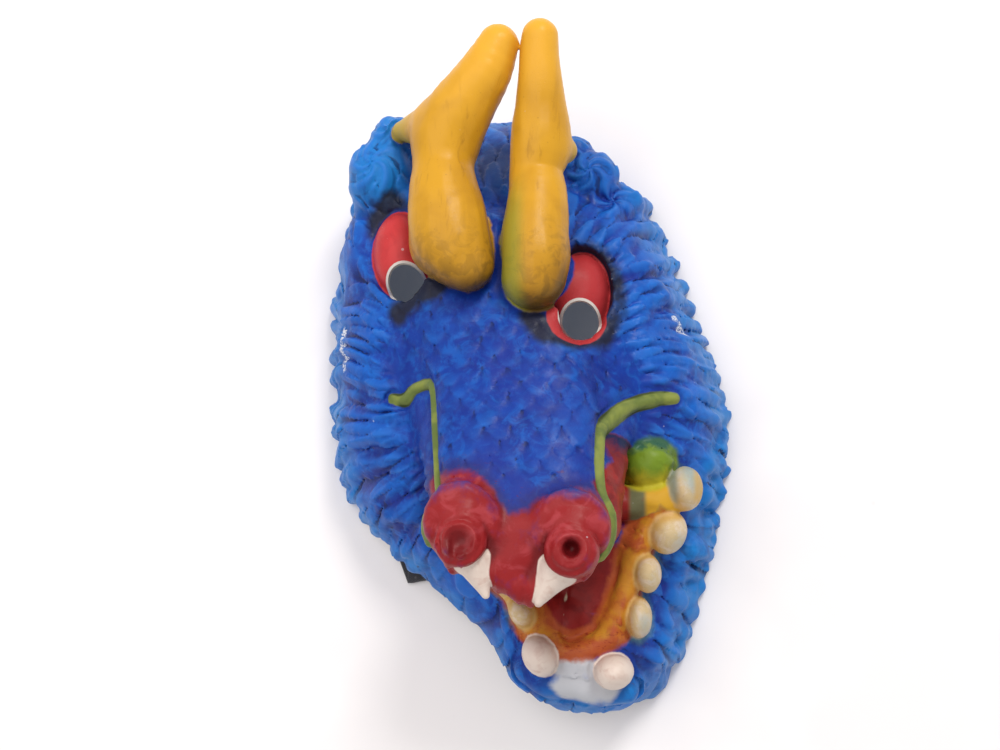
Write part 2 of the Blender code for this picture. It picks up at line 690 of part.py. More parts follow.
def main():
    for obj in list(bpy.data.objects):
        bpy.data.objects.remove(obj)
    skin, core = casting()
    cut_by(skin, core)
    cut_by(skin, floor_cutter())
    cut_by(skin, lift_cutter())
    for side, place in zip(("left", "right"), EYE_HOLES):
        cut_by(skin, eye_cutter(f"eye_cutter_{side}", place))
    finish(skin, "painted_latex", (0.03, 0.10, 0.42), 0.45)
    band = strap()
    finish(band, "black_elastic", (0.02, 0.02, 0.025), 0.85)
    centre_on_origin([skin, band])


if __name__ == "__main__":
    main()
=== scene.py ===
"""A latex dragon mask lying face up on a pale table: its painted casting and its folded head strap.

The casting is sculpted in a block of signed distances, as clay is, with the same forms as the
solids, then carved with scales, plumes and wrinkles that are too fine for them. Sculpting
coordinates are in steps of a 260th of the face's length, which is one millimetre: +X is the
picture's right, +Y runs from chin to crown and +Z out of the face.
"""

import logging
import math
from dataclasses import dataclass, field
from enum import Enum
from typing import Sequence

import bmesh
import bpy
import numpy as np
import openvdb
from mathutils import Euler, Matrix, Vector


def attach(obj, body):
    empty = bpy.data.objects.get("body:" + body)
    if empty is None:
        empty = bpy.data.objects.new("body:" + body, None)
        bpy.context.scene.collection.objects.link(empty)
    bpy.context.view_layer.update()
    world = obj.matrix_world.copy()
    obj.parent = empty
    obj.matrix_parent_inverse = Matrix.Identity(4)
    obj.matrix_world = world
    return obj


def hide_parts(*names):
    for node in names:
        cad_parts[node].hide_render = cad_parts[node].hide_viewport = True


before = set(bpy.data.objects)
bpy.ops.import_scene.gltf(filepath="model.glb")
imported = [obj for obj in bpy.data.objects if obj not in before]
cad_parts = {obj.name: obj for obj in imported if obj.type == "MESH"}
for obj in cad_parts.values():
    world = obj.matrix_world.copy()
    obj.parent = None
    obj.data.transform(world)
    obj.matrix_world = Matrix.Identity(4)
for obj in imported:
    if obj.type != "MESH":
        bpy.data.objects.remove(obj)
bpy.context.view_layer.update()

log = logging.getLogger("dragon_mask")

STEP = 0.001
FAR = 1.0e3
PLACE = (-0.0093818, 0.0018215, 0.0)

Array = np.ndarray
Points = Sequence[Sequence[float]]
Colour = tuple[float, float, float, float]


def paint(code: str) -> Colour:
    """A linear colour from a hex code.

    Args:
        code: Six hex digits of a display colour.

    Returns:
        Red, green, blue and alpha, as the shaders take them.
    """
    parts = [int(code[i : i + 2], 16) / 255 for i in (0, 2, 4)]
    linear = [c / 12.92 if c <= 0.04045 else ((c + 0.055) / 1.055) ** 2.4 for c in parts]
    return (linear[0], linear[1], linear[2], 1.0)


def smooth_min(a: Array, b: Array, blend: float) -> Array:
    """The lesser of two distances, rounded over where they are close.

    Args:
        a: The first distances.
        b: The second distances.
        blend: How close they are where the rounding starts.

    Returns:
        The joined distances.
    """
    if blend <= 0:
        return np.minimum(a, b)
    near = np.maximum(blend - np.abs(a - b), 0.0) / blend
    return np.minimum(a, b) - near * near * blend * 0.25


def fade(value: Array, start: float, end: float) -> Array:
    """A smooth step from 0 at start to 1 at end.

    Args:
        value: The numbers to read.
        start: Where the step is 0.
        end: Where the step is 1.

    Returns:
        Shares from 0 to 1.
    """
    share = np.clip((value - start) / (end - start), 0.0, 1.0)
    return share * share * (3 - 2 * share)


def curve_through(points: Points, samples: int) -> Array:
    """A smooth open curve through rows of numbers.

    Args:
        points: The rows that it passes through.
        samples: How many rows it gets in each span.

    Returns:
        The curve's rows.
    """
    rows = np.asarray(points, float)
    ends = np.vstack([2 * rows[0] - rows[1], rows, 2 * rows[-1] - rows[-2]])
    made = []
    for i in range(len(rows) - 1):
        p0, p1, p2, p3 = ends[i : i + 4]
        for t in np.linspace(0, 1, samples, endpoint=False):
            bend = (2 * p0 - 5 * p1 + 4 * p2 - p3) * t * t + (3 * p1 - p0 - 3 * p2 + p3) * t**3
            made.append(0.5 * (2 * p1 + (p2 - p0) * t + bend))
    made.append(rows[-1])
    return np.array(made)


@dataclass(frozen=True)
class Ball:
    """An ellipsoid: its centre, three radii, and turns about X, Y and Z in degrees."""

    centre: tuple[float, float, float]
    radii: tuple[float, float, float]
    turn: tuple[float, float, float] = (0, 0, 0)

    def box(self) -> tuple[Array, Array]:
        """The lowest and the highest corner of a box round it."""
        centre = np.array(self.centre, float)
        return centre - max(self.radii), centre + max(self.radii)

    def distance(self, x: Array, y: Array, z: Array) -> Array:
        """Signed distances to its surface.

        Args:
            x: The places' first coordinates.
            y: Their second coordinates.
            z: Their third coordinates.

        Returns:
            Distances, below zero inside.
        """
        turn = np.array(Euler([math.radians(a) for a in self.turn]).to_matrix().transposed())
        place = [x - self.centre[0], y - self.centre[1], z - self.centre[2]]
        local = [sum(turn[i, j] * place[j] for j in range(3)) for i in range(3)]
        scaled = np.sqrt(sum((local[i] / self.radii[i]) ** 2 for i in range(3)))
        slope = np.sqrt(sum((local[i] / self.radii[i] ** 2) ** 2 for i in range(3)))
        return scaled * (scaled - 1.0) / np.maximum(slope, 1e-6)


@dataclass(frozen=True)
class Rod:
    """A round-ended rod through points, each (x, y, z, radius)."""

    points: Points

    def box(self) -> tuple[Array, Array]:
        """The lowest and the highest corner of a box round it."""
        rows = np.asarray(self.points, float)
        reach = rows[:, 3:4]
        return (rows[:, :3] - reach).min(0), (rows[:, :3] + reach).max(0)

    def distance(self, x: Array, y: Array, z: Array) -> Array:
        """Signed distances to its surface.

        Args:
            x: The places' first coordinates.
            y: Their second coordinates.
            z: Their third coordinates.

        Returns:
            Distances, below zero inside.
        """
        best = None
        rows = np.asarray(self.points, float)
        for a, b in zip(rows[:-1], rows[1:]):
            along = b[:3] - a[:3]
            length = max(float(along @ along), 1e-9)
            t = ((x - a[0]) * along[0] + (y - a[1]) * along[1] + (z - a[2]) * along[2]) / length
            t = np.clip(t, 0.0, 1.0)
            gap = (
                (x - a[0] - t * along[0]) ** 2
                + (y - a[1] - t * along[1]) ** 2
                + (z - a[2] - t * along[2]) ** 2
            )
            near = np.sqrt(gap) - (a[3] + (b[3] - a[3]) * t)
            best = near if best is None else np.minimum(best, near)
        return best


@dataclass(frozen=True)
class Beam:
    """A tapering beam of rounded-box section, with (half width, half height) at each end."""

    start: tuple[float, float, float]
    end: tuple[float, float, float]
    start_size: tuple[float, float]
    end_size: tuple[float, float]
    nose: float
    power: float = 3.4

    def box(self) -> tuple[Array, Array]:
        """The lowest and the highest corner of a box round it."""
        ends = np.array([self.start, self.end], float)
        reach = max(*self.start_size, *self.end_size) + self.nose
        return ends.min(0) - reach, ends.max(0) + reach

    def distance(self, x: Array, y: Array, z: Array) -> Array:
        """Signed distances to its surface.

        Args:
            x: The places' first coordinates.
            y: Their second coordinates.
            z: Their third coordinates.

        Returns:
            Distances, below zero inside.
        """
        start, end = np.array(self.start, float), np.array(self.end, float)
        length = np.linalg.norm(end - start)
        along = (end - start) / length
        side = np.cross(along, (0, 0, 1.0))
        side /= np.linalg.norm(side)
        up = np.cross(side, along)
        place = [x - start[0], y - start[1], z - start[2]]
        u = sum(place[i] * along[i] for i in range(3))
        v = sum(place[i] * side[i] for i in range(3))
        w = sum(place[i] * up[i] for i in range(3))
        t = np.clip(u / length, 0.0, 1.0)
        wide = self.start_size[0] + (self.end_size[0] - self.start_size[0]) * t
        high = self.start_size[1] + (self.end_size[1] - self.start_size[1]) * t
        past = np.maximum(u - length, 0.0) / self.nose
        before = np.maximum(-u, 0.0) / self.nose
        total = (
            np.abs(v / wide) ** self.power
            + np.abs(w / high) ** self.power
            + past**self.power
            + before**self.power
        )
        return (total ** (1 / self.power) - 1.0) * np.minimum(wide, high)


Shape = Ball | Rod | Beam


def nearest(shapes: Sequence[Shape], points: Array, reach: float) -> Array:
    """The distance from each point to the nearest of some shapes.

    Args:
        shapes: The shapes to measure to.
        points: Rows of three coordinates.
        reach: The largest distance that matters; anything further says this much.

    Returns:
        Signed distances, one for each point.
    """
    found = np.full(len(points), reach, np.float32)
    for shape in shapes:
        low, high = shape.box()
        inside = np.all((points > low - reach) & (points < high + reach), axis=1)
        rows = points[inside]
        found[inside] = np.minimum(found[inside], shape.distance(rows[:, 0], rows[:, 1], rows[:, 2]))
    return found


class Noise:
    """Smooth value noise read from a seeded table that repeats."""

    CELLS = 64

    def __init__(self, seed: int) -> None:
        """Fills the table.

        Args:
            seed: The seed of its numbers.
        """
        self.table = np.random.default_rng(seed).uniform(-1, 1, (self.CELLS,) * 3).astype(np.float32)

    def at(self, points: Array, cell: float | Sequence[float]) -> Array:
        """The noise at rows of points.

        Args:
            points: Rows of three coordinates.
            cell: The size of one cell, or one size for each axis.

        Returns:
            Numbers from -1 to 1.
        """
        place = points / np.asarray(cell, np.float32)
        base = np.floor(place).astype(np.int64)
        share = place - base
        share = share * share * (3 - 2 * share)
        total = np.zeros(len(points), np.float32)
        for corner in range(8):
            on = [(corner >> i) & 1 for i in range(3)]
            weight = np.ones(len(points), np.float32)
            for i in range(3):
                weight = weight * (share[:, i] if on[i] else 1 - share[:, i])
            index = tuple((base[:, i] + on[i]) % self.CELLS for i in range(3))
            total += weight * self.table[index]
        return total

    def layers(self, points: Array, cell: float, count: int) -> Array:
        """Noise with finer and fainter layers added.

        Args:
            points: Rows of three coordinates.
            cell: The size of the coarsest cell.
            count: How many layers there are.

        Returns:
            Numbers mostly from -1 to 1.
        """
        total = np.zeros(len(points), np.float32)
        for i in range(count):
            total += self.at(points + 17.0 * i, cell / 2**i) * 0.5**i
        return total


class Clay:
    """A block of space that holds the signed distance to the sculpted surface at each grid point."""

    MARGIN = 9.0
    CLIP = 12.0
    STRIDE = 4.0

    def __init__(self, low: Points, high: Points, grain: float) -> None:
        """Starts with empty space.

        Args:
            low: The block's lowest corner.
            high: Its highest corner.
            grain: The distance between grid points.
        """
        self.grain = grain
        self.axes = [np.arange(a, b + grain, grain, dtype=np.float32) for a, b in zip(low, high)]
        self.value = np.full([len(a) for a in self.axes], FAR, np.float32)

    def window(self, box: tuple[Array, Array], margin: float) -> tuple:
        """The part of the block round a box.

        Args:
            box: The box's two corners.
            margin: How far round it to look.

        Returns:
            The block's slices, and the open coordinate arrays in them.
        """
        cut = []
        for axis, low, high in zip(self.axes, box[0] - margin, box[1] + margin):
            first, last = np.searchsorted(axis, [low, high])
            cut.append(slice(max(int(first) - 1, 0), int(last) + 1))
        x, y, z = (axis[s] for axis, s in zip(self.axes, cut))
        return tuple(cut), x[:, None, None], y[None, :, None], z[None, None, :]

    def add(self, shape: Shape, blend: float = 0.0) -> None:
        """Adds a shape, with a soft joint of this width."""
        cut, x, y, z = self.window(shape.box(), blend + self.MARGIN)
        self.value[cut] = smooth_min(self.value[cut], shape.distance(x, y, z), blend)

    def carve(self, shape: Shape, blend: float = 0.0) -> None:
        """Carves a shape out, with a soft edge of this width."""
        cut, x, y, z = self.window(shape.box(), blend + self.MARGIN)
        self.value[cut] = -smooth_min(-self.value[cut], shape.distance(x, y, z), blend)

    def sampled(self, points: Array, value: Array | None = None) -> Array:
        """Grid numbers read between the grid's points.

        Args:
            points: Rows of three coordinates.
            value: The numbers to read, or None for the distances.

        Returns:
            One number for each point.
        """
        value = self.value if value is None else value
        place = [(points[:, i] - self.axes[i][0]) / self.grain for i in range(3)]
        cell = [np.clip(p.astype(int), 0, len(a) - 2) for p, a in zip(place, self.axes)]
        share = [p - c for p, c in zip(place, cell)]
        total = 0.0
        for corner in range(8):
            step = [(corner >> i) & 1 for i in range(3)]
            weight = 1.0
            for s, on in zip(share, step):
                weight = weight * (s if on else 1 - s)
            total = total + weight * value[tuple(c + on for c, on in zip(cell, step))]
        return total

    def settled(self, points: Array, rounds: int = 6) -> Array:
        """Points moved to the nearest place on the surface.

        Args:
            points: Rows of three coordinates.
            rounds: How many times they are moved.

        Returns:
            The moved rows.
        """
        points = np.array(points, float)
        reach = np.eye(3) * 1.8
        for _ in range(rounds):
            slope = np.stack(
                [self.sampled(points + r) - self.sampled(points - r) for r in reach], axis=1
            )
            slope /= np.maximum(np.linalg.norm(slope, axis=1, keepdims=True), 1e-6)
            points -= slope * np.clip(self.sampled(points), -self.STRIDE, self.STRIDE)[:, None]
        return points

    def height(self, x: float, y: float) -> float:
        """How high the surface stands over a point of the floor.

        Args:
            x: Across the floor, in steps.
            y: Along the floor, in steps.

        Returns:
            The height, in steps.
        """
        i = int(round((x - self.axes[0][0]) / self.grain))
        j = int(round((y - self.axes[1][0]) / self.grain))
        column = self.value[i, j]
        inside = np.nonzero(column < 0)[0]
        if not len(inside):
            return 0.0
        k = int(inside[-1])
        share = column[k] / (column[k] - column[k + 1])
        return float(self.axes[2][k] + share * self.grain)

    def thinned(self, every: int) -> "Clay":
        """The same clay on a coarser grid that keeps one point in every few.

        Args:
            every: One point in this many stays.

        Returns:
            The coarser clay.
        """
        coarse = Clay((0, 0, 0), (1, 1, 1), self.grain * every)
        coarse.axes = [axis[::every] for axis in self.axes]
        coarse.value = np.ascontiguousarray(self.value[::every, ::every, ::every])
        return coarse

    def softened(self, reach: int) -> Array:
        """The distances, averaged over a small cube twice, so that ridges and creases stand out of them.

        Args:
            reach: The cube's half side, in grid points.

        Returns:
            The averaged numbers.
        """
        value = np.clip(self.value, -self.CLIP, self.CLIP)
        for _ in range(2):
            for axis in range(3):
                pad = [(0, 0)] * 3
                pad[axis] = (reach + 1, reach)
                total = np.cumsum(np.pad(value, pad, mode="edge"), axis=axis, dtype=np.float64)
                count = value.shape[axis]
                upper = np.take(total, np.arange(2 * reach + 1, 2 * reach + 1 + count), axis=axis)
                lower = np.take(total, np.arange(count), axis=axis)
                value = ((upper - lower) / (2 * reach + 1)).astype(np.float32)
        return value

    def surface(self, level: float) -> tuple[Array, Array]:
        """The surface where the distance is level.

        Args:
            level: The distance to look for.

        Returns:
            Its points and its quads.
        """
        grid = openvdb.FloatGrid(FAR)
        grid.copyFromArray(self.value)
        points, _, quads = grid.convertToPolygons(level, 0.0)
        return points * self.grain + np.array([axis[0] for axis in self.axes]), quads


def arc(
    centre: Sequence[float], radius: float, first: float, last: float, dip: float, thickness: float
) -> Rod:
    """A bowed rod round a centre, lower at its two sides.

    Args:
        centre: The middle of the arc.
        radius: Its radius.
        first: Its first angle in degrees.
        last: Its last angle.
        dip: How far it drops at the sides.
        thickness: The rod's radius.

    Returns:
        The rod.
    """
    rows = [
        (
            centre[0] + radius * math.cos(a), centre[1] + radius * math.sin(a),
            centre[2] - dip * abs(math.cos(a)), thickness,
        )
        for a in np.radians(np.linspace(first, last, 12))
    ]
    return Rod(rows)


@dataclass
class DragonForm:
    """The mask's sculpted form: its shapes in sculpting steps, and the clay that they make."""

    low: tuple[float, float, float] = (-92, -156, -8)
    high: tuple[float, float, float] = (112, 150, 124)
    rim_centre: tuple[float, float] = (8, -8)
    rim: Points = (
        (94, -20), (91, -4), (85, 11), (81, 25), (76, 37), (73, 51), (68, 65), (63.5, 78), (56, 88),
        (49, 96), (41.5, 103.5), (30, 111.5), (12, 122), (-8, 123), (-28, 120), (-46, 114), (-60, 103),
        (-67, 86), (-72, 70), (-75, 58), (-74, 42), (-73, 22), (-74, 2), (-73.5, -19), (-71, -35),
        (-66, -49), (-57, -65), (-45, -77), (-30, -92), (-14, -107), (-2, -121), (10, -135),
        (22, -141), (34, -143), (50, -141), (66, -134), (70.5, -123), (73, -112), (77.5, -95),
        (82, -78), (85.5, -65), (88, -50), (92, -35),
    )
    face_height: Points = (
        (-145, 40), (-110, 44), (-70, 52), (-25, 60), (30, 66), (70, 62), (100, 52), (125, 40),
    )
    hollows: Sequence[Ball] = (
        Ball((32, -54, 66), (45, 24, 30)), Ball((33, -86, 64), (28, 28, 30)), Ball(
            (32, -107, 62), (19, 17, 26)
        ),
    )
    gum: Points = (
        (70, -56, 45, 5.5), (62, -68, 43, 5), (57, -78, 43, 4.8), (53, -92, 42, 4.6), (
            48.5, -104, 42, 4.6
        ),
        (41, -113, 41, 4.6), (30, -117, 41, 4.8), (21, -113, 41, 4.6), (13.5, -104, 41, 4.6),
        (7.5, -94, 42, 4.6), (1, -85, 42, 4.6), (-8, -72, 43, 4.6),
    )
    lower_teeth: Sequence[Ball] = (
        Ball((77.5, -51, 46), (7.0, 9.0, 11)), Ball((70.0, -68.5, 43), (7.6, 9.0, 11), (0, 0, -18)),
        Ball((61.5, -85.0, 43), (5.6, 7.8, 11)), Ball((58.0, -102.5, 42), (5.0, 8.2, 11)),
        Ball(
            (10.0, -100.5, 42), (4.8, 7.0, 11), (0, 0, 30)
        ), Ball((3.0, -88.0, 42), (4.8, 7.0, 11), (0, 0, 28)),
    )
    lower_fangs: Sequence[Ball] = (
        Ball(
            (17.5, -117.8, 46), (6.6, 8.4, 13), (0, 0, 28)
        ), Ball((47.4, -123.8, 46), (7.9, 6.9, 13), (0, 0, 12)),
    )
    tongue: Sequence[Ball] = (
        Ball((37, -84, 30), (15, 30, 11), (8, 0, 4)), Ball((27, -104, 36), (8, 9, 6)),
    )
    lip: Rod = Rod(
        ((12, -124, 35, 5), (20, -129, 36, 5), (31, -129, 37, 4.6), (42, -133, 36, 5), (52, -132, 33, 5))
    )
    bulge: Ball = Ball((62.5, -41, 44), (10, 9.5, 11))
    corner_ridge: Rod = Rod(((50, -56, 43, 7.0), (66, -55.5, 45, 6.2), (74, -54, 46, 6)))
    muzzle: Beam = Beam((5, 24, 42), (15, -68, 74), (35, 26), (31.5, 24), 15)
    muzzle_balls: Sequence[Ball] = (
        Ball(
            (-7.5, -67, 92), (14.5, 15, 14)
        ), Ball((33.5, -70, 91), (14.5, 15, 14)), Ball((13, -76, 89), (15, 13, 10)),
    )
    upper_lip: Rod = Rod(
        (
            (-7, -79, 92, 7), (5, -84.5, 92, 6.2), (17.9, -92, 90, 5.2), (25, -86.5, 92, 6.2),
            (34.4, -82, 93, 7),
        )
    )
    nostril_hoods: Points = ((-7.3, -66.5, 101, 11.0), (33.3, -69.5, 100, 11.4))
    nostril_rims: Sequence[Ball] = (
        Ball((-7, -74, 100), (9.6, 9.8, 9.0)), Ball((33.5, -77.8, 100), (10.4, 9.8, 9.0))
    )
    nostril_dimple: Ball = Ball((-6.6, -74.6, 110.5), (5.8, 6.0, 5))
    nostril_hole: Ball = Ball((33.8, -77, 110), (3.2, 3.4, 9))
    fang_left: Rod = Rod(((-2.8, -81.5, 95, 7.0), (1.5, -93.6, 94.5, 1.6)))
    fang_right: Rod = Rod(((27.8, -84.8, 95, 7.2), (20.9, -96.4, 94, 1.7)))
    horn_left_stem: Points = (
        (-8.8, 37.6, 77, 11.4), (-14.6, 46, 76, 15.6), (-16.9, 58, 75, 15.9), (-18.4, 68.6, 74, 14.3),
        (-19.0, 79.2, 73, 12.7), (-18.4, 90.7, 72, 14.0),
    )
    horn_left_crown: Points = (
        (
            -18.0, 91.2, 72, 14.2
        ), (-14.0, 99.8, 74, 14.0), (-8.0, 108.3, 76, 12.4), (-0.6, 118.0, 79, 10.8),
        (4.5, 128.2, 81, 8.5),
    )
    horn_right: Points = (
        (18.4, 31.6, 75, 13.0), (19.3, 39.1, 76, 13.7), (18.9, 48.5, 75, 13.6), (19.6, 57.1, 74, 13.0),
        (20.0, 67.6, 73, 11.8), (19.2, 76.4, 72, 10.9), (20.9, 85.4, 73, 12.2), (21.5, 93.6, 74, 12.0),
        (21.5, 102.7, 76, 10.5), (21.7, 110.9, 79, 9.3), (21.5, 120.9, 81, 8.2), (21.8, 129.9, 83, 7.6),
    )
    horn_cheek: Ball = Ball((-21.0, 47.5, 70), (11.8, 13, 12))
    spur_left: Rod = Rod(((-24.0, 99.0, 69, 10.0), (-38.8, 101.8, 58, 4.4)))
    spur_right: Rod = Rod(((25.8, 86.0, 71, 8.8), (30.6, 87.0, 67, 5.4)))
    brow_bases: Sequence[Ball] = (Ball((-6, 48, 58), (21, 15, 16)), Ball((18, 38, 58), (14, 14, 16)))
    eye_left: Ball = Ball((-39.0, 47.5, 49), (12.8, 20.0, 14), (0, -12, 8))
    eye_right: Ball = Ball((35.0, 27.5, 49), (12.6, 20.0, 14), (0, 12, -8))
    eye_holes: Points = ((-36.7, 34.7), (36.0, 16.9))
    eye_sight: Rod = Rod(((36.0, 16.9, 65, 9.0), (39.0, 5.0, 92, 10.0)))
    tufts: Sequence[Ball] = (Ball((-50, 86, 40), (15.0, 17, 17)), Ball((-45, 101, 44), (10, 11, 11)))
    right_tufts: Points = ((50, 72, 32, 9), (41, 83, 40, 10), (32, 93, 36, 9), (54, 57, 32, 8))
    lock_size: float = 5.0
    lock_tip: float = 3.4
    lock_sink: float = 0.62
    cheeks: Sequence[tuple[Points, Points, int]] = (
        (((-50, 24), (-44, -8), (-36, -30), (-33, -58), (-26, -78)),
         ((-77, 44), (-77, 4), (-74, -34), (-60, -62), (-36, -86)), 13),
        (((44, 58), (56, 36), (60, 12), (66, -8), (84, -22)),
         ((62, 84), (76, 50), (84, 24), (92, 0), (97, -20)), 11),
        (((86, -34), (80, -66), (70, -84), (66, -104), (60, -122)),
         ((95, -36), (90, -62), (85, -80), (79, -100), (71, -124)), 10),
    )
    frill: Sequence[tuple[Points, float, int]] = (
        (
            ((66, 78), (78, 38), (87, 12), (97, -20), (95, -40), (88, -72), (80, -100), (72, -126)), 5.2,
            22,
        ),
        (((-64, 100), (-73, 74), (-76, 40), (-75, 8), (-75, -20), (-68, -48)), 4.2, 17),
    )
    whisker_right: Points = (
        (74.7, -14.8, 52, 1.7), (65.7, -15.7, 55, 2.8), (57.6, -18.1, 58, 2.8), (50.8, -22.8, 66, 3.1),
        (46.2, -30.5, 75, 3.0), (43.9, -38.8, 80, 2.7), (43.2, -48.8, 84, 2.4), (45.0, -57.3, 87, 2.3),
        (47.4, -64.2, 90, 2.2), (47.6, -71.8, 92, 1.9), (44.0, -80.0, 94, 1.6),
    )
    whisker_left: Points = (
        (
            -41.2, -14.5, 54, 1.7
        ), (-33.8, -14.0, 57, 2.5), (-30.6, -10.9, 60, 2.0), (-24.4, -9.9, 68, 1.7),
        (
            -24.1, -17.3, 73, 1.7
        ), (-25.0, -29.9, 77, 2.0), (-25.2, -42.0, 80, 1.9), (-24.8, -53.9, 84, 1.9),
        (-21.6, -63.8, 89, 1.9), (-16.4, -72.6, 94, 1.6),
    )
    whisker_sink: float = 0.25
    laid_whiskers: list[Rod] = field(default_factory=list)

    def rim_share(self, x: Array, y: Array) -> Array:
        """How far out from the rim's centre places are, as a share of the way to the rim.

        Args:
            x: The places' first coordinates.
            y: Their second coordinates.

        Returns:
            Shares, 1 on the rim.
        """
        rows = list(self.rim)
        closed = curve_through(rows[-1:] + rows + rows[:2], 6)
        away = closed - self.rim_centre
        angle = np.unwrap(np.arctan2(away[:, 1], away[:, 0]))
        radius = np.linalg.norm(away, axis=1)
        here = np.arctan2(y - self.rim_centre[1], x - self.rim_centre[0])
        here = angle[0] + np.mod(here - angle[0], 2 * np.pi)
        return np.hypot(x - self.rim_centre[0], y - self.rim_centre[1]) / np.interp(here, angle, radius)

    def head(self, clay: Clay) -> None:
        """Fills the clay with the head's dome.

        Args:
            clay: The clay to work on.
        """
        x, y, z = (clay.axes[0][:, None], clay.axes[1][None, :], clay.axes[2])
        share = self.rim_share(x, y)
        high = curve_through(self.face_height, 8)
        height = np.interp(np.broadcast_to(y, share.shape), high[:, 0], high[:, 1])
        form = (share**3.0)[:, :, None] + (np.abs(z)[None, None, :] / height[:, :, None]) ** 2.2
        form = (form ** (1 / 2.4) - 1.0).astype(np.float32)
        slope = np.sqrt(sum(g * g for g in np.gradient(form, clay.grain)))
        clay.value[:] = form / np.maximum(slope, 1e-3)
        clay.add(Ball((33, -112, 20), (33, 29, 26)), 10)

    def lock(self, clay: Clay, start: Array, end: Array, size: float, bow: float) -> None:
        """Lays one swept lock of skin on the surface.

        Args:
            clay: The clay to add it to.
            start: Where it starts, seen from above.
            end: Where it ends.
            size: Its radius at the start.
            bow: How far it bows sideways, as a share of its length.
        """
        rows = []
        for t in np.linspace(0, 1, 5):
            swing = bow * math.sin(math.pi * t)
            x = start[0] + (end[0] - start[0]) * t - swing * (end[1] - start[1])
            y = start[1] + (end[1] - start[1]) * t + swing * (end[0] - start[0])
            radius = size * (1 - t) + self.lock_tip * t
            rows.append((x, y, max(clay.height(x, y) - self.lock_sink * radius, radius), radius))
        clay.add(Rod(rows), 2.0)

    def relief(self, clay: Clay) -> None:
        """Adds the tufts, locks, cheek folds and frill.

        Args:
            clay: The clay to work on.
        """
        for tuft, blend in zip(self.tufts, (6, 3)):
            clay.add(tuft, blend)
        for x, y, z, size in self.right_tufts:
            clay.add(Ball((x, y, z), (size, size * 1.15, size), (0, 0, -25)), 3)
        clay.add(Ball((-36, 10, 44), (15, 13, 14)), 4)
        clay.add(Ball((-57, 52, 34), (9, 22, 14), (0, 0, 8)), 4)
        clay.add(Ball((54, 30, 36), (10, 24, 16), (0, 0, -16)), 5)
        for inner, outer, count in self.cheeks:
            inside, outside = curve_through(inner, 8), curve_through(outer, 8)
            for i in range(count):
                t = (i + 0.5) / count
                start = inside[int(t * (len(inside) - 1))]
                end = outside[int(t * (len(outside) - 1))]
                size = self.lock_size * (1.0 + 0.28 * math.sin(2.4 * i))
                self.lock(clay, start, end, size, 0.16 * math.sin(1.7 * i + 0.6))
        for run, size, count in self.frill:
            line = curve_through(run, 8)
            for i in range(count):
                x, y = line[int((i + 0.5) / count * (len(line) - 1))]
                radius = size * (1.0 + 0.22 * math.sin(2.1 * i))
                toward = np.array([x, y]) - self.rim_centre
                x, y = np.array([x, y]) - (radius + 0.4) * toward / np.linalg.norm(toward)
                clay.add(Ball((x, y, 7 + 2 * math.sin(1.3 * i)), (radius, radius, 8)), 2)

    def mouth(self, clay: Clay) -> None:
        """Carves the open mouth, then adds the tongue, gums and lower teeth.

        Args:
            clay: The clay to work on.
        """
        for hollow in self.hollows:
            clay.carve(hollow, 5)
        for ball, blend in zip(self.tongue, (5, 4)):
            clay.add(ball, blend)
        clay.add(Rod(curve_through(self.gum, 3)), 4)
        clay.add(self.lip, 5)
        for tooth in (*self.lower_teeth, *self.lower_fangs):
            clay.add(tooth, 1.2)
        clay.add(self.bulge, 2)
        clay.add(self.corner_ridge, 2)

    def snout(self, clay: Clay) -> None:
        """Adds the upper jaw with its two nostrils.

        Args:
            clay: The clay to work on.
        """
        clay.add(self.muzzle, 11)
        for side in (-1, 1):
            jaw = (
                (9 + 36 * side, -4, 50, 9), (13 + 33 * side, -36, 60, 8), (16 + 27 * side, -66, 74, 8)
            )
            clay.add(Rod(curve_through(jaw, 3)), 7)
        for ball in self.muzzle_balls:
            clay.add(ball, 5)
        clay.add(self.upper_lip, 4)
        for x, y, z, radius in self.nostril_hoods:
            clay.add(arc((x, y, z), radius, -20, 200, 3, 3.2), 2)
        for ball in self.nostril_rims:
            clay.add(ball, 0.8)
        clay.carve(self.nostril_dimple, 2)
        clay.carve(self.nostril_hole, 2.5)
        clay.add(self.fang_left, 1)
        clay.add(self.fang_right, 1)

    def eyes(self, clay: Clay) -> None:
        """Sinks two sockets and sets the eyes in them."""
        clay.carve(self.eye_sight, 4)
        for eye in (self.eye_left, self.eye_right):
            centre, radii = eye.centre, eye.radii
            socket = Ball(
                (centre[0], centre[1], centre[2] + 10), (radii[0] + 2.2, radii[1] + 2.2, 11), eye.turn
            )
            clay.carve(socket, 3)
            clay.add(eye, 0.8)

    def horn_shapes(self) -> list[tuple[Shape, float]]:
        """The horns' shapes, each with the width of its soft joint."""
        return [
            (Rod(curve_through(self.horn_left_stem, 3)), 1.5),
            (self.horn_cheek, 3),
            (Rod(curve_through(self.horn_left_crown, 3)), 1.5),
            (Rod(curve_through(self.horn_right, 3)), 1.5),
            (self.spur_left, 5),
            (self.spur_right, 3),
        ]

    def horns(self, clay: Clay) -> None:
        """Adds the two horns on their brows.

        Args:
            clay: The clay to work on.
        """
        for base in self.brow_bases:
            clay.add(base, 6)
        for shape, blend in self.horn_shapes():
            clay.add(shape, blend)

    def whiskers(self, clay: Clay) -> None:
        """Lays the two flat whiskers down the snout's sides."""
        self.laid_whiskers = []
        for whisker in (self.whisker_right, self.whisker_left):
            rows = curve_through(whisker, 3)
            rows[:, :3] = clay.settled(rows[:, :3])
            rows[:, 2] -= self.whisker_sink * rows[:, 3]
            self.laid_whiskers.append(Rod(rows))
            clay.add(self.laid_whiskers[-1], 1)

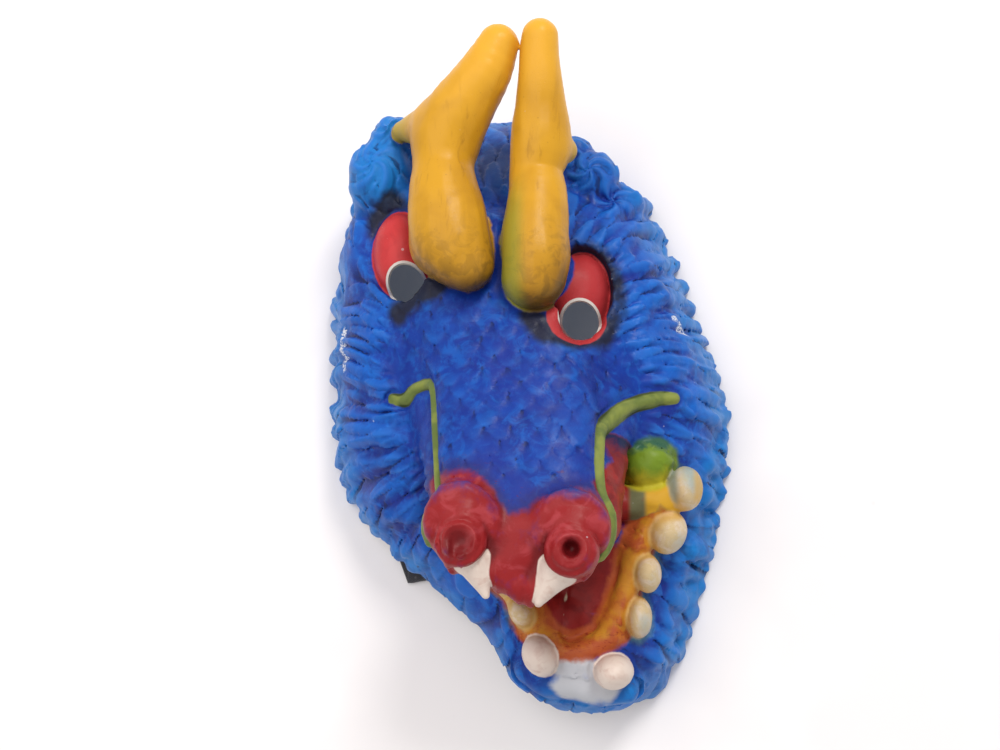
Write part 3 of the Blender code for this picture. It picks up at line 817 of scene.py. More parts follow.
    def sculpt(self, grain: float) -> Clay:
        """The outside of the whole mask.

        Args:
            grain: The clay's grid spacing.

        Returns:
            The clay.
        """
        clay = Clay(self.low, self.high, grain)
        for work in (
            self.head, self.relief, self.mouth, self.snout, self.eyes, self.horns, self.whiskers
        ):
            work(clay)
        return clay


# The red of the nose reaches back to this line across the snout.
NOSE_EDGE: Points = (
    (-60, -64), (-29.6, -56), (-27, -51), (-18, -48.6), (-9, -47.6), (-1, -49.5), (3.9, -55),
    (7.1, -60), (10.9, -64.5), (14.6, -63.4), (22, -59), (29.6, -56.6), (36.9, -56), (42.1, -57.5),
    (48, -60), (70, -62),
)

# The dark round the eyes, partly black paint, with painted shade under the left horn; and the painted
# shadow of the horns between them.
EYE_SHADE: Sequence[Rod] = (
    Rod(((-53.5, 58, 47, 1.0), (-52, 66, 47, 3.0), (-45, 73, 52, 3.5), (-31, 66, 64, 4.0))),
    Rod(((-24, 38, 66, 4.5), (-24, 32, 66, 6.5), (-31, 27, 63, 4.0), (-38, 22, 60, 4.5))),
    Rod((
        (33, 49, 56, 3.5), (43, 45, 54, 4.0), (49, 33, 54, 5.0), (49, 20, 55, 5.0),
        (45, 9, 62, 3.5), (32, 6, 73, 3.5), (23, 9, 74, 4.5), (17, 17, 74, 4.0),
    )),
)
CROWN_SHADE: Sequence[Rod] = (Rod(((-1, 78, 56, 5.0), (1, 92, 50, 8.0), (3, 104, 44, 9.0))),)

# The horn's paint also covers the soft joint between the left horn and its spur.
SPUR_FILLET: Ball = Ball((-29, 99, 68), (13, 13, 13))

# The curls on the tufts behind the horns, each with its centre and size.
SWIRLS: Sequence[tuple[tuple[float, float], float]] = (
    ((-52, 88), 17), ((-45, 104), 11), ((50, 72), 11), ((40, 84), 12), ((31, 95), 10),
)

# Where the paint has rubbed off at the rim.
SCUFFS: Sequence[Rod] = (
    Rod(((74.0, 20, 40, 1.4), (78.0, 15, 33, 2.2), (76.5, 10, 36, 1.0))),
    Rod(((-66, 19, 38, 1.6), (-67, 10, 36, 2.4), (-65, 2, 40, 1.2))),
)


@dataclass
class SkinCarving:
    """The fine carving on the form: scales, plumes, wrinkles and grain, with heights in steps."""

    scale_width: float = 9.6
    scale_length: float = 6.2
    scale_height: float = 0.90
    plume_count: int = 66
    plume_length: float = 13.0
    plume_height: float = 1.75
    strand_height: float = 0.60
    swirl_height: float = 1.7
    ripple_height: float = 0.34
    ripple_spacing: float = 3.0
    furrow_depth: float = 0.9
    depth: float = 3.2
    noise: Noise = field(default_factory=lambda: Noise(11))

    def overlapping(self, u: Array, v: Array, width: float, length: float, columns: int) -> Array:
        """Rows of scales, each lying on the next, with round free edges towards greater v.

        Args:
            u: Places across the rows.
            v: Places along the way that the scales point.
            width: How far apart neighbours are.
            length: How far apart rows are.
            columns: After how many columns the pattern repeats, or 0.

        Returns:
            Heights from 0 to 1.
        """
        best = np.zeros(len(u), np.float32)
        done = np.zeros(len(u), bool)
        first = np.floor(v / length)
        for back in (1, 0):
            row = first - back
            offset = 0.5 * np.mod(row, 2)
            column = np.floor(u / width - offset + 0.5)
            key = np.mod(column, columns) if columns else column
            twist = np.sin(12.9898 * key + 78.233 * row) * 43758.5453
            twist = twist - np.floor(twist)
            across = (u - (column + offset + 0.16 * (twist - 0.5)) * width) / (0.57 * width)
            reach = length * (1.62 + 0.34 * twist)
            edge = reach * np.sqrt(np.maximum(1 - across**2, 0.0))
            along = v - row * length
            cover = (along < edge) & ~done
            rise = (
                0.2 + 0.8 * along / np.maximum(edge, 1e-3)
            ) * (1 - 0.35 * across**2) * (0.75 + 0.25 * twist)
            best = np.where(cover, rise, best)
            done |= cover
        return best

    def heights(self, form: DragonForm, points: Array) -> tuple[Array, Array]:
        """How far the carved skin stands out of the form.

        Args:
            form: The sculpted form.
            points: Rows of three coordinates near its surface.

        Returns:
            One height for each point, and how far it is above or below the middle of its scale or plume.
        """
        x, y = points[:, 0], points[:, 1]
        noise = self.noise
        share = form.rim_share(x, y).astype(np.float32)
        horn = nearest([shape for shape, _ in form.horn_shapes()], points, 6.0)
        eye = nearest([form.eye_left, form.eye_right], points, 6.0)
        inside = nearest(form.hollows, points, 8.0)
        snout = nearest([form.muzzle, *form.muzzle_balls], points, 6.0)
        rings = nearest(form.nostril_rims, points, 6.0)
        whisker = nearest(form.laid_whiskers, points, 4.0)
        fangs = [*form.lower_fangs, form.fang_left, form.fang_right]
        hard = nearest([*form.lower_teeth, *fangs, form.lip], points, 6.0)
        wave = noise.layers(points, 14.0, 2)

        skin = fade(horn, 1.4, 3.4) * fade(eye, 1.6, 3.2) * fade(
            whisker, 1.5, 2.8
        ) * fade(hard, 2.0, 3.4)
        mouth = fade(inside, 2.0, -1.0) * fade(snout, 1.0, 3.5)
        top = 1 - fade(np.abs(x - (9.5 + 0.11 * (24 - y))), 36, 46) * fade(y, 14, -4)
        scaly = fade(y, -61, -47) * top * (1 - fade(share + 0.06 * wave, 0.60, 0.78)) * (1 - mouth)
        hairy = fade(share + 0.06 * wave, 0.50, 0.72) * (1 - mouth) * fade(snout, 0.5, 6.0)

        lean = x - 0.11 * (24 - y) + 0.9 * wave
        scales = self.overlapping(
            lean, -y + 1.3 * noise.at(points, 19.0), self.scale_width, self.scale_length, 0
        )

        angle = np.arctan2(y - form.rim_centre[1], x - form.rim_centre[0])
        swept = angle + 0.10 * noise.at(points, 33.0)
        width = 2 * math.pi / self.plume_count
        radius = np.hypot(x - form.rim_centre[0], y - form.rim_centre[1])
        plumes = self.overlapping(swept, radius + 2.5 * wave, width, self.plume_length, self.plume_count)
        fan = np.column_stack([np.cos(swept) * 60, np.sin(swept) * 60, 0.10 * radius])
        strands = noise.at(fan, (2.1, 2.1, 2.6)) + 0.6 * noise.at(fan + 9.0, (1.15, 1.15, 1.8))

        swirl = np.zeros(len(points), np.float32)
        for centre, size in SWIRLS:
            away = np.hypot(x - centre[0], y - centre[1])
            turn = np.arctan2(y - centre[1], x - centre[0])
            near = 1 - fade(away, 0.6 * size, 1.15 * size)
            swirl = np.maximum(swirl, near * (0.5 + 0.5 * np.sin(5 * turn + 0.55 * away + 1.5 * wave)))
        curled = fade(swirl, 0.0, 0.3)

        height = skin * scaly * self.scale_height * scales
        height += skin * hairy * (1 - 0.7 * curled) * (
            self.plume_height * plumes + self.strand_height * strands
        )
        height += skin * self.swirl_height * swirl * fade(share, 0.45, 0.6)
        height += skin * (1 - mouth) * (0.38 * wave + 0.14 * noise.at(points, 3.1))
        height += mouth * fade(hard, 0.8, 2.0) * (0.55 * noise.layers(points, 6.0, 3) + 0.12)
        for rim in form.nostril_rims:
            away = np.hypot(x - rim.centre[0], y - rim.centre[1])
            ripple = np.cos(away * 2 * math.pi / self.ripple_spacing + 0.8 * wave)
            ripple *= fade(away, 3.0, 5.0) * (1 - fade(away, 10, 13.5))
            height += self.ripple_height * ripple * fade(rings, 3.0, 1.0)
        grained = points * np.array([1.0, 0.13, 1.0])
        height += (1 - fade(horn, 0.6, 2.0)) * (
            0.20 * noise.at(grained, 2.4) + 0.16 * noise.at(points, 8.0)
        )
        height += (1 - fade(hard, 0.4, 1.2)) * 0.14 * noise.at(points * np.array([1.0, 1.0, 0.35]), 2.0)
        furrow = np.abs(x - (30 + 0.16 * (y + 84)) + 0.8 * wave)
        tongue = nearest(form.tongue, points, 4.0)
        height -= (1 - fade(tongue, 0.5, 2.0)) * self.furrow_depth * (1 - fade(furrow, 0.0, 2.2))
        # This tone later gives the painted highlights and painted shade on the relief.
        plume_tone = (1 - 0.7 * curled) * (plumes - 0.45 + 0.25 * strands) + curled * (swirl - 0.5)
        tone = skin * (0.62 * scaly * (scales - 0.56) + hairy * plume_tone)
        return height.astype(np.float32), tone.astype(np.float32)

    def carve(self, form: DragonForm, clay: Clay) -> Array:
        """Carves the detail into the clay near its surface.

        Args:
            form: The sculpted form.
            clay: Its clay, which is changed.

        Returns:
            The clay's distances as they were.
        """
        plain = clay.value.copy()
        near = np.nonzero(np.abs(plain) < self.depth)
        points = np.column_stack([axis[i] for axis, i in zip(clay.axes, near)])
        clay.value[near] -= self.heights(form, points)[0]
        return plain


def whole_pieces(quads: Array) -> Array:
    """The piece that each point belongs to.

    Args:
        quads: Rows of four point numbers.

    Returns:
        One label for each point.
    """
    label = np.arange(int(quads.max()) + 1)
    while True:
        least = label[quads].min(axis=1)
        newer = label.copy()
        np.minimum.at(newer, quads.ravel(), np.repeat(least, 4))
        newer = newer[newer]
        if np.array_equal(newer, label):
            return label
        label = newer


def mesh_object(name: str, points: Array, faces: Array) -> bpy.types.Object:
    """A mesh object in the scene.

    Args:
        name: Its name.
        points: Rows of three coordinates in metres.
        faces: Rows of point numbers.

    Returns:
        The object.
    """
    mesh = bpy.data.meshes.new(name)
    mesh.from_pydata(np.asarray(points).tolist(), [], np.asarray(faces).tolist())
    obj = bpy.data.objects.new(name, mesh)
    bpy.context.scene.collection.objects.link(obj)
    return obj


def settle_modifiers(obj: bpy.types.Object) -> None:
    """Makes the mesh what its modifiers show, and removes them.

    Args:
        obj: The object.
    """
    graph = bpy.context.evaluated_depsgraph_get()
    graph.update()
    made = bpy.data.meshes.new_from_object(obj.evaluated_get(graph))
    obj.modifiers.clear()
    old = obj.data
    obj.data = made
    made.name = obj.name
    bpy.data.meshes.remove(old)


def thin_out(obj: bpy.types.Object, triangles: int) -> None:
    """Reduces the mesh to about this many triangles.

    Args:
        obj: The object.
        triangles: How many to keep.
    """
    modifier = obj.modifiers.new("thin", "DECIMATE")
    modifier.ratio = min(1.0, triangles / (2.0 * len(obj.data.polygons)))
    modifier.use_collapse_triangulate = True
    settle_modifiers(obj)


@dataclass
class MaskShell:
    """The latex casting: a skin over a core that lies one wall inside it, trimmed at the rim."""

    form: DragonForm
    carving: SkinCarving
    place: Vector
    wall: float = 2.2
    grain: float = 0.8
    below: float = 6.0
    skin_triangles: int = 150_000
    core_triangles: int = 22_000
    hole_radius: float = 7.5
    lift_from: tuple[float, float] = (66.0, -135.0)
    lift_to: tuple[float, float] = (-64.0, -54.0)
    lift_slope: float = 1.0
    sharp_angle: float = 48.0
    floor_block: tuple[float, float] = (500.0, 100.0)
    lift_block: tuple[float, float] = (300.0, 120.0)
    drill_depth: float = 40.0
    drill_middle: float = 46.0
    zone_reach: float = 12.0
    rim_reach: float = 80.0

    def cutter(self, name: str, matrix: Matrix) -> bpy.types.Object:
        """A unit cube to cut with.

        Args:
            name: Its name.
            matrix: Where it is, in sculpting steps.

        Returns:
            The object.
        """
        mesh = bmesh.new()
        bmesh.ops.create_cube(mesh, size=1.0, matrix=matrix)
        return self.cutter_object(name, mesh)

    def cutter_object(self, name: str, mesh: bmesh.types.BMesh) -> bpy.types.Object:
        """A cutter from a mesh in sculpting steps.

        Args:
            name: The object's name.
            mesh: Its mesh, in steps.

        Returns:
            The cutter, in metres.
        """
        bmesh.ops.scale(mesh, vec=(STEP,) * 3, verts=mesh.verts)
        data = bpy.data.meshes.new(name)
        mesh.to_mesh(data)
        mesh.free()
        obj = bpy.data.objects.new(name, data)
        bpy.context.scene.collection.objects.link(obj)
        return obj

    def cutters(self) -> list[bpy.types.Object]:
        """The blocks that trim the rim and the drills that open the eyes."""
        side, deep = self.floor_block
        floor = Matrix.Translation((0, 0, -deep / 2)) @ Matrix.Diagonal((side, side, deep, 1))
        start, end = Vector((*self.lift_from, 0)), Vector((*self.lift_to, 0))
        along = (end - start).normalized()
        outward = Vector((-along.y, along.x, 0))
        rise = math.atan(self.lift_slope)
        down = outward * math.sin(rise) - Vector((0, 0, 1)) * math.cos(rise)
        side, deep = self.lift_block
        middle = Matrix.Translation((start + end) / 2 + down * (deep / 2))
        turned = down.to_track_quat("-Z", "Y").to_matrix().to_4x4()
        lift = middle @ turned @ Matrix.Diagonal((side, side, deep, 1))
        made = [self.cutter("floor_cut", floor), self.cutter("lift_cut", lift)]
        for x, y in self.form.eye_holes:
            drill = bmesh.new()
            bmesh.ops.create_cone(
                drill, cap_ends=True, segments=96, radius1=self.hole_radius, radius2=self.hole_radius,
                depth=self.drill_depth, matrix=Matrix.Translation((x, y, self.drill_middle)),
            )
            made.append(self.cutter_object("eye_drill", drill))
        return made

    def build(self) -> bpy.types.Object:
        """Sculpts, carves and trims the casting.

        Returns:
            The piece, in place.
        """
        clay = self.form.sculpt(self.grain)
        log.info("sculpted")
        plain = self.carving.carve(self.form, clay)
        floor = (-self.below - clay.axes[2])[None, None, :]
        clay.value = np.maximum(clay.value, floor).astype(np.float32)
        points, quads = clay.surface(0.0)
        label = whole_pieces(quads)
        largest = np.bincount(label).argmax()
        quads = quads[label[quads[:, 0]] == largest]
        kept, index = np.unique(quads, return_inverse=True)
        shell = mesh_object("dragon_mask_shell", points[kept] * STEP, index.reshape(quads.shape))
        log.info("skin has %d quads", len(quads))
        thin_out(shell, self.skin_triangles)

        clay.value = np.maximum(plain, floor).astype(np.float32)
        coarse = clay.thinned(2)
        points, quads = coarse.surface(-self.wall)
        piece = whole_pieces(quads)
        quads = quads[piece[quads[:, 0]] == piece[int(points[:, 2].argmin())]]
        kept, index = np.unique(quads, return_inverse=True)
        core = mesh_object("core", points[kept] * STEP, index.reshape(quads.shape))
        thin_out(core, self.core_triangles)
        log.info("core has %d faces", len(core.data.polygons))

        helpers = [core, *self.cutters()]
        for helper in helpers:
            modifier = shell.modifiers.new("cut", "BOOLEAN")
            modifier.operation = "DIFFERENCE"
            modifier.solver = "MANIFOLD"
            modifier.object = helper
        settle_modifiers(shell)
        for helper in helpers:
            bpy.data.objects.remove(helper)
        shell.data.materials.clear()
        shell.data.polygons.foreach_set("material_index", np.zeros(len(shell.data.polygons), np.int32))
        log.info("casting has %d faces", len(shell.data.polygons))
        self.mark_zones(shell, clay, plain)
        shell.data.transform(Matrix.Translation(self.place))
        shell.data.shade_smooth()
        shell.data.set_sharp_from_angle(angle=math.radians(self.sharp_angle))
        return shell

    def mark_zones(self, shell: bpy.types.Object, clay: Clay, plain: Array) -> None:
        """Stores, at each point of the mesh, how far it is from each painted zone.

        Args:
            shell: The piece, still in sculpting coordinates.
            clay: The clay.
            plain: The distances before the fine carving.
        """
        form = self.form
        points = np.zeros(len(shell.data.vertices) * 3, np.float32)
        shell.data.vertices.foreach_get("co", points)
        points = points.reshape(-1, 3) / STEP
        x, y, z = points[:, 0], points[:, 1], points[:, 2]
        reach = self.zone_reach
        snout = nearest(
            [form.muzzle, *form.muzzle_balls, form.upper_lip, *form.nostril_rims], points, reach
        )
        edge = np.array(NOSE_EDGE)
        nose = y - np.interp(x, edge[:, 0], edge[:, 1])
        holes = [np.hypot(x - a, y - b) - self.hole_radius for a, b in form.eye_holes]
        coarse = clay.thinned(2)
        soft = coarse.sampled(points, coarse.softened(2))
        lip_limit = np.maximum(-130 - y, 0) * 0.6 + np.maximum(np.abs(x - 36) - 9, 0) * 0.8
        lip_limit = lip_limit - 6.0 * fade(y, -127, -120) * fade(y, -108, -114)
        eyes = nearest([form.eye_left, form.eye_right], points, reach)
        throat_top = z - np.interp(y, (-52, -42), (88, 71))
        zones = {
            "depth": -clay.sampled(points, plain),
            # The crest and relief zones drive painted highlights and painted shade in the finish.
            "crest": soft,
            "horn": nearest([*(shape for shape, _ in form.horn_shapes()), SPUR_FILLET], points, reach),
            "eye": np.minimum(eyes, np.hypot(x - 35, y - 16.5) - 11),
            "hole": np.minimum(*holes),
            "nose": np.maximum(nose, snout - 3.0),
            "inner": np.maximum(nearest(form.hollows, points, reach), throat_top * 0.5),
            "gum": nearest(
                [Rod(curve_through(form.gum, 3))], points, reach
            ) + np.maximum(-110 - y, 0) * 0.35,
            "tooth": nearest(form.lower_teeth, points, reach),
            "lower_fang": nearest(form.lower_fangs, points, reach),
            "upper_fang": nearest([form.fang_left, form.fang_right], points, reach),
            "tongue": nearest(form.tongue, points, reach),
            "lip": nearest([form.lip], points, reach) + lip_limit,
            "relief": self.carving.heights(form, points)[1],
            "bulge": nearest([form.bulge], points, reach),
            "ridge": nearest([form.corner_ridge], points, reach),
            "whisker": nearest(form.laid_whiskers, points, reach),
            "nostril": nearest([form.nostril_dimple, form.nostril_hole], points, reach),
            "halo": nearest(EYE_SHADE, points, 2 * reach),
            "crown": nearest(CROWN_SHADE, points, 2 * reach),
            "scuff": nearest(SCUFFS, points, reach),
            "rim": (1 - form.rim_share(x, y)) * self.rim_reach,
        }
        for name, value in zones.items():
            attribute = shell.data.attributes.new(f"zone_{name}", "FLOAT", "POINT")
            attribute.data.foreach_set("value", np.ascontiguousarray(value, np.float32))


class Coordinates(Enum):
    """Which coordinates a texture reads."""

    OBJECT = "Object"
    UV = "UV"


class Graph:
    """A node tree with short calls that add and join its nodes."""

    def __init__(self, tree: bpy.types.NodeTree) -> None:
        """Keeps the tree."""
        self.tree = tree
        self.marks: dict[str, bpy.types.NodeSocket] = {}

    def add(self, kind: str, **settings: object) -> bpy.types.Node:
        """Adds a node.

        Args:
            kind: The node's type.
            settings: Properties to set on it.

        Returns:
            The node.
        """
        node = self.tree.nodes.new(kind)
        for name, value in settings.items():
            setattr(node, name, value)
        return node

    def feed(self, socket: bpy.types.NodeSocket, value: object) -> None:
        """Joins an output to a socket, or sets the socket to a plain value."""
        if isinstance(value, bpy.types.NodeSocket):
            self.tree.links.new(value, socket)
        else:
            socket.default_value = value

    def zone(self, name: str) -> bpy.types.NodeSocket:
        """The output of one of the mesh's zone attributes."""
        if name not in self.marks:
            node = self.add(
                "ShaderNodeAttribute", attribute_name=f"zone_{name}", attribute_type="GEOMETRY"
            )
            self.marks[name] = node.outputs["Fac"]
        return self.marks[name]

    def place(self, kind: Coordinates = Coordinates.OBJECT) -> bpy.types.NodeSocket:
        """The coordinates that textures read."""
        if kind.value not in self.marks:
            self.marks[kind.value] = self.add("ShaderNodeTexCoord").outputs[kind.value]
        return self.marks[kind.value]

    def math(
        self, operation: str, a: object, b: object = 0.0, clamp: bool = False
    ) -> bpy.types.NodeSocket:
        """One sum.

        Args:
            operation: The Math node's operation.
            a: Its first value or output.
            b: Its second.
            clamp: Whether to keep the result from 0 to 1.

        Returns:
            The result's output.
        """
        node = self.add("ShaderNodeMath", operation=operation, use_clamp=clamp)
        self.feed(node.inputs[0], a)
        self.feed(node.inputs[1], b)
        return node.outputs[0]

    def times(self, first: object, *others: object) -> bpy.types.NodeSocket:
        """The product of numbers and outputs."""
        for other in others:
            first = self.math("MULTIPLY", first, other)
        return first

    def plus(self, first: object, second: object) -> bpy.types.NodeSocket:
        """The sum of two numbers or outputs."""
        return self.math("ADD", first, second)

    def step(self, value: object, start: float, end: float) -> bpy.types.NodeSocket:
        """A smooth step from 0 at start to 1 at end.

        Args:
            value: A number or output.
            start: The value that gives 0.
            end: The value that gives 1.

        Returns:
            The step's output.
        """
        node = self.add("ShaderNodeMapRange", interpolation_type="SMOOTHSTEP")
        flipped = start > end
        low, high = (end, start) if flipped else (start, end)
        for socket, number in zip(
            ("From Min", "From Max", "To Min", "To Max"), (low, high, flipped, not flipped)
        ):
            node.inputs[socket].default_value = float(number)
        self.feed(node.inputs["Value"], value)
        return node.outputs[0]

    def mix(self, share: object, a: object, b: object) -> bpy.types.NodeSocket:
        """A mix of two colours.

        Args:
            share: How much of the second.
            a: The first colour or output.
            b: The second.

        Returns:
            The mixed colour's output.
        """
        node = self.add("ShaderNodeMix", data_type="RGBA")
        self.feed(node.inputs[0], share)
        self.feed(node.inputs[6], a)
        self.feed(node.inputs[7], b)
        return node.outputs[2]

    def over(self, colour: object, share: object, code: str) -> bpy.types.NodeSocket:
        """A colour with a share of another laid over it."""
        return self.mix(share, colour, paint(code))

    def blend(self, share: object, a: object, b: object) -> bpy.types.NodeSocket:
        """A mix of two numbers.

        Args:
            share: How much of b.
            a: The first number.
            b: The second number.

        Returns:
            The mix's output.
        """
        node = self.add("ShaderNodeMix", data_type="FLOAT")
        self.feed(node.inputs[0], share)
        self.feed(node.inputs[2], a)
        self.feed(node.inputs[3], b)
        return node.outputs[0]

    def noise(
        self, cell: float, detail: float = 3.0, roughness: float = 0.55, distortion: float = 0.0,
        stretch: tuple[float, float, float] = (1, 1, 1), offset: float = 0.0,
    ) -> bpy.types.NodeSocket:
        """A noise texture.

        Args:
            cell: The size of its features in metres.
            detail: How many finer layers it has.
            roughness: How strong they are.
            distortion: How much it is warped.
            stretch: Scales of its coordinates.
            offset: How far its coordinates are moved.

        Returns:
            Its number's output.
        """
        mapping = self.add("ShaderNodeMapping")
        mapping.inputs["Scale"].default_value = stretch
        mapping.inputs["Location"].default_value = (offset, offset, offset)
        self.feed(mapping.inputs["Vector"], self.place())
        node = self.add("ShaderNodeTexNoise")
        for name, value in (
            ("Scale", 1 / cell), ("Detail", detail), ("Roughness", roughness), ("Distortion", distortion)
        ):
            node.inputs[name].default_value = value
        self.feed(node.inputs["Vector"], mapping.outputs[0])
        return node.outputs[0]

    def use(self, tree: bpy.types.NodeTree, **values: object) -> bpy.types.Node:
        """Places a node group.

        Args:
            tree: The group.
            values: What goes into its inputs, with spaces in their names as underscores.

        Returns:
            The group's node.
        """
        node = self.add("ShaderNodeGroup", node_tree=tree)
        for name, value in values.items():
            self.feed(node.inputs[name.replace("_", " ")], value)
        return node


def group(
    name: str, inputs: dict[str, float], outputs: Sequence[str]
) -> tuple[bpy.types.NodeTree, Graph, dict, dict]:
    """An empty node group of number sockets.

    Args:
        name: Its name.
        inputs: Its inputs and their usual values.
        outputs: Its outputs.

    Returns:
        The group, its graph, its inputs' sockets and its outputs' sockets, both by name.
    """
    tree = bpy.data.node_groups.new(name, "ShaderNodeTree")
    for label, value in inputs.items():
        tree.interface.new_socket(
            name=label, in_out="INPUT", socket_type="NodeSocketFloat"
        ).default_value = value
    for label in outputs:
        tree.interface.new_socket(name=label, in_out="OUTPUT", socket_type="NodeSocketFloat")
    graph = Graph(tree)
    entry, leave = graph.add("NodeGroupInput"), graph.add("NodeGroupOutput")
    return tree, graph, {
        s.name: s for s in entry.outputs if s.name
    }, {s.name: s for s in leave.inputs if s.name}


def ragged_edge() -> bpy.types.NodeTree:
    """A group that turns a distance into a hand-painted mask: 1 inside, with a ragged, soft edge."""
    tree, graph, given, made = group(
        "ragged edge", {
            "Distance": 0.0, "Edge": 0.0, "Softness": 1.0, "Raggedness": 1.0, "Wander": 0.5
        }, ["Mask"]
    )
    push = graph.times(graph.math("SUBTRACT", given["Wander"], 0.5), given["Raggedness"])
    moved = graph.math("SUBTRACT", graph.plus(given["Distance"], push), given["Edge"])
    share = graph.math("DIVIDE", moved, given["Softness"])
    graph.feed(made["Mask"], graph.step(share, 0.5, -0.5))
    return tree


def speckle() -> bpy.types.NodeTree:
    """A group of small scattered flecks, for dust, pores and pinholes."""
    tree, graph, given, made = group(
        "speckle", {"Fineness": 900.0, "Cover": 0.2, "Size": 0.22}, ["Mask"]
    )
    cells = graph.add("ShaderNodeTexVoronoi", feature="F1")
    graph.feed(cells.inputs["Vector"], graph.place())
    graph.feed(cells.inputs["Scale"], given["Fineness"])
    parts = graph.add("ShaderNodeSeparateColor")
    graph.feed(parts.inputs[0], cells.outputs["Color"])
    chosen = graph.math("LESS_THAN", parts.outputs[0], given["Cover"])
    size = graph.times(given["Size"], parts.outputs[1])
    near = graph.math(
        "DIVIDE", graph.math("SUBTRACT", size, cells.outputs["Distance"]), 0.06, clamp=True
    )
    graph.feed(made["Mask"], graph.times(near, chosen))
    return tree


def brushwork() -> bpy.types.NodeTree:
    """A group of soft directional streaks, as a brush or a spray pass leaves them."""
    tree, graph, given, made = group("brushwork", {"Fineness": 60.0, "Warp": 1.2}, ["Broad", "Fine"])
    for label, detail, scale in (("Broad", 2.0, 1.0), ("Fine", 5.0, 3.4)):
        noise = graph.add("ShaderNodeTexNoise")
        noise.inputs["Detail"].default_value = detail
        noise.inputs["Roughness"].default_value = 0.6
        graph.feed(noise.inputs["Vector"], graph.place())
        graph.feed(noise.inputs["Scale"], graph.times(given["Fineness"], scale))
        graph.feed(noise.inputs["Distortion"], given["Warp"])
        graph.feed(made[label], noise.outputs[0])
    return tree


@dataclass(frozen=True)
class Effects:
    """The node groups that the finishes share."""

    edge: bpy.types.NodeTree
    flecks: bpy.types.NodeTree
    brush: bpy.types.NodeTree


def start_material(name: str) -> tuple[bpy.types.Material, Graph, bpy.types.Node]:
    """A new material.

    Args:
        name: Its name.

    Returns:
        The material, its graph and its Principled shader.
    """
    material = bpy.data.materials.new(name)
    material.use_nodes = True
    graph = Graph(material.node_tree)
    return material, graph, material.node_tree.nodes["Principled BSDF"]


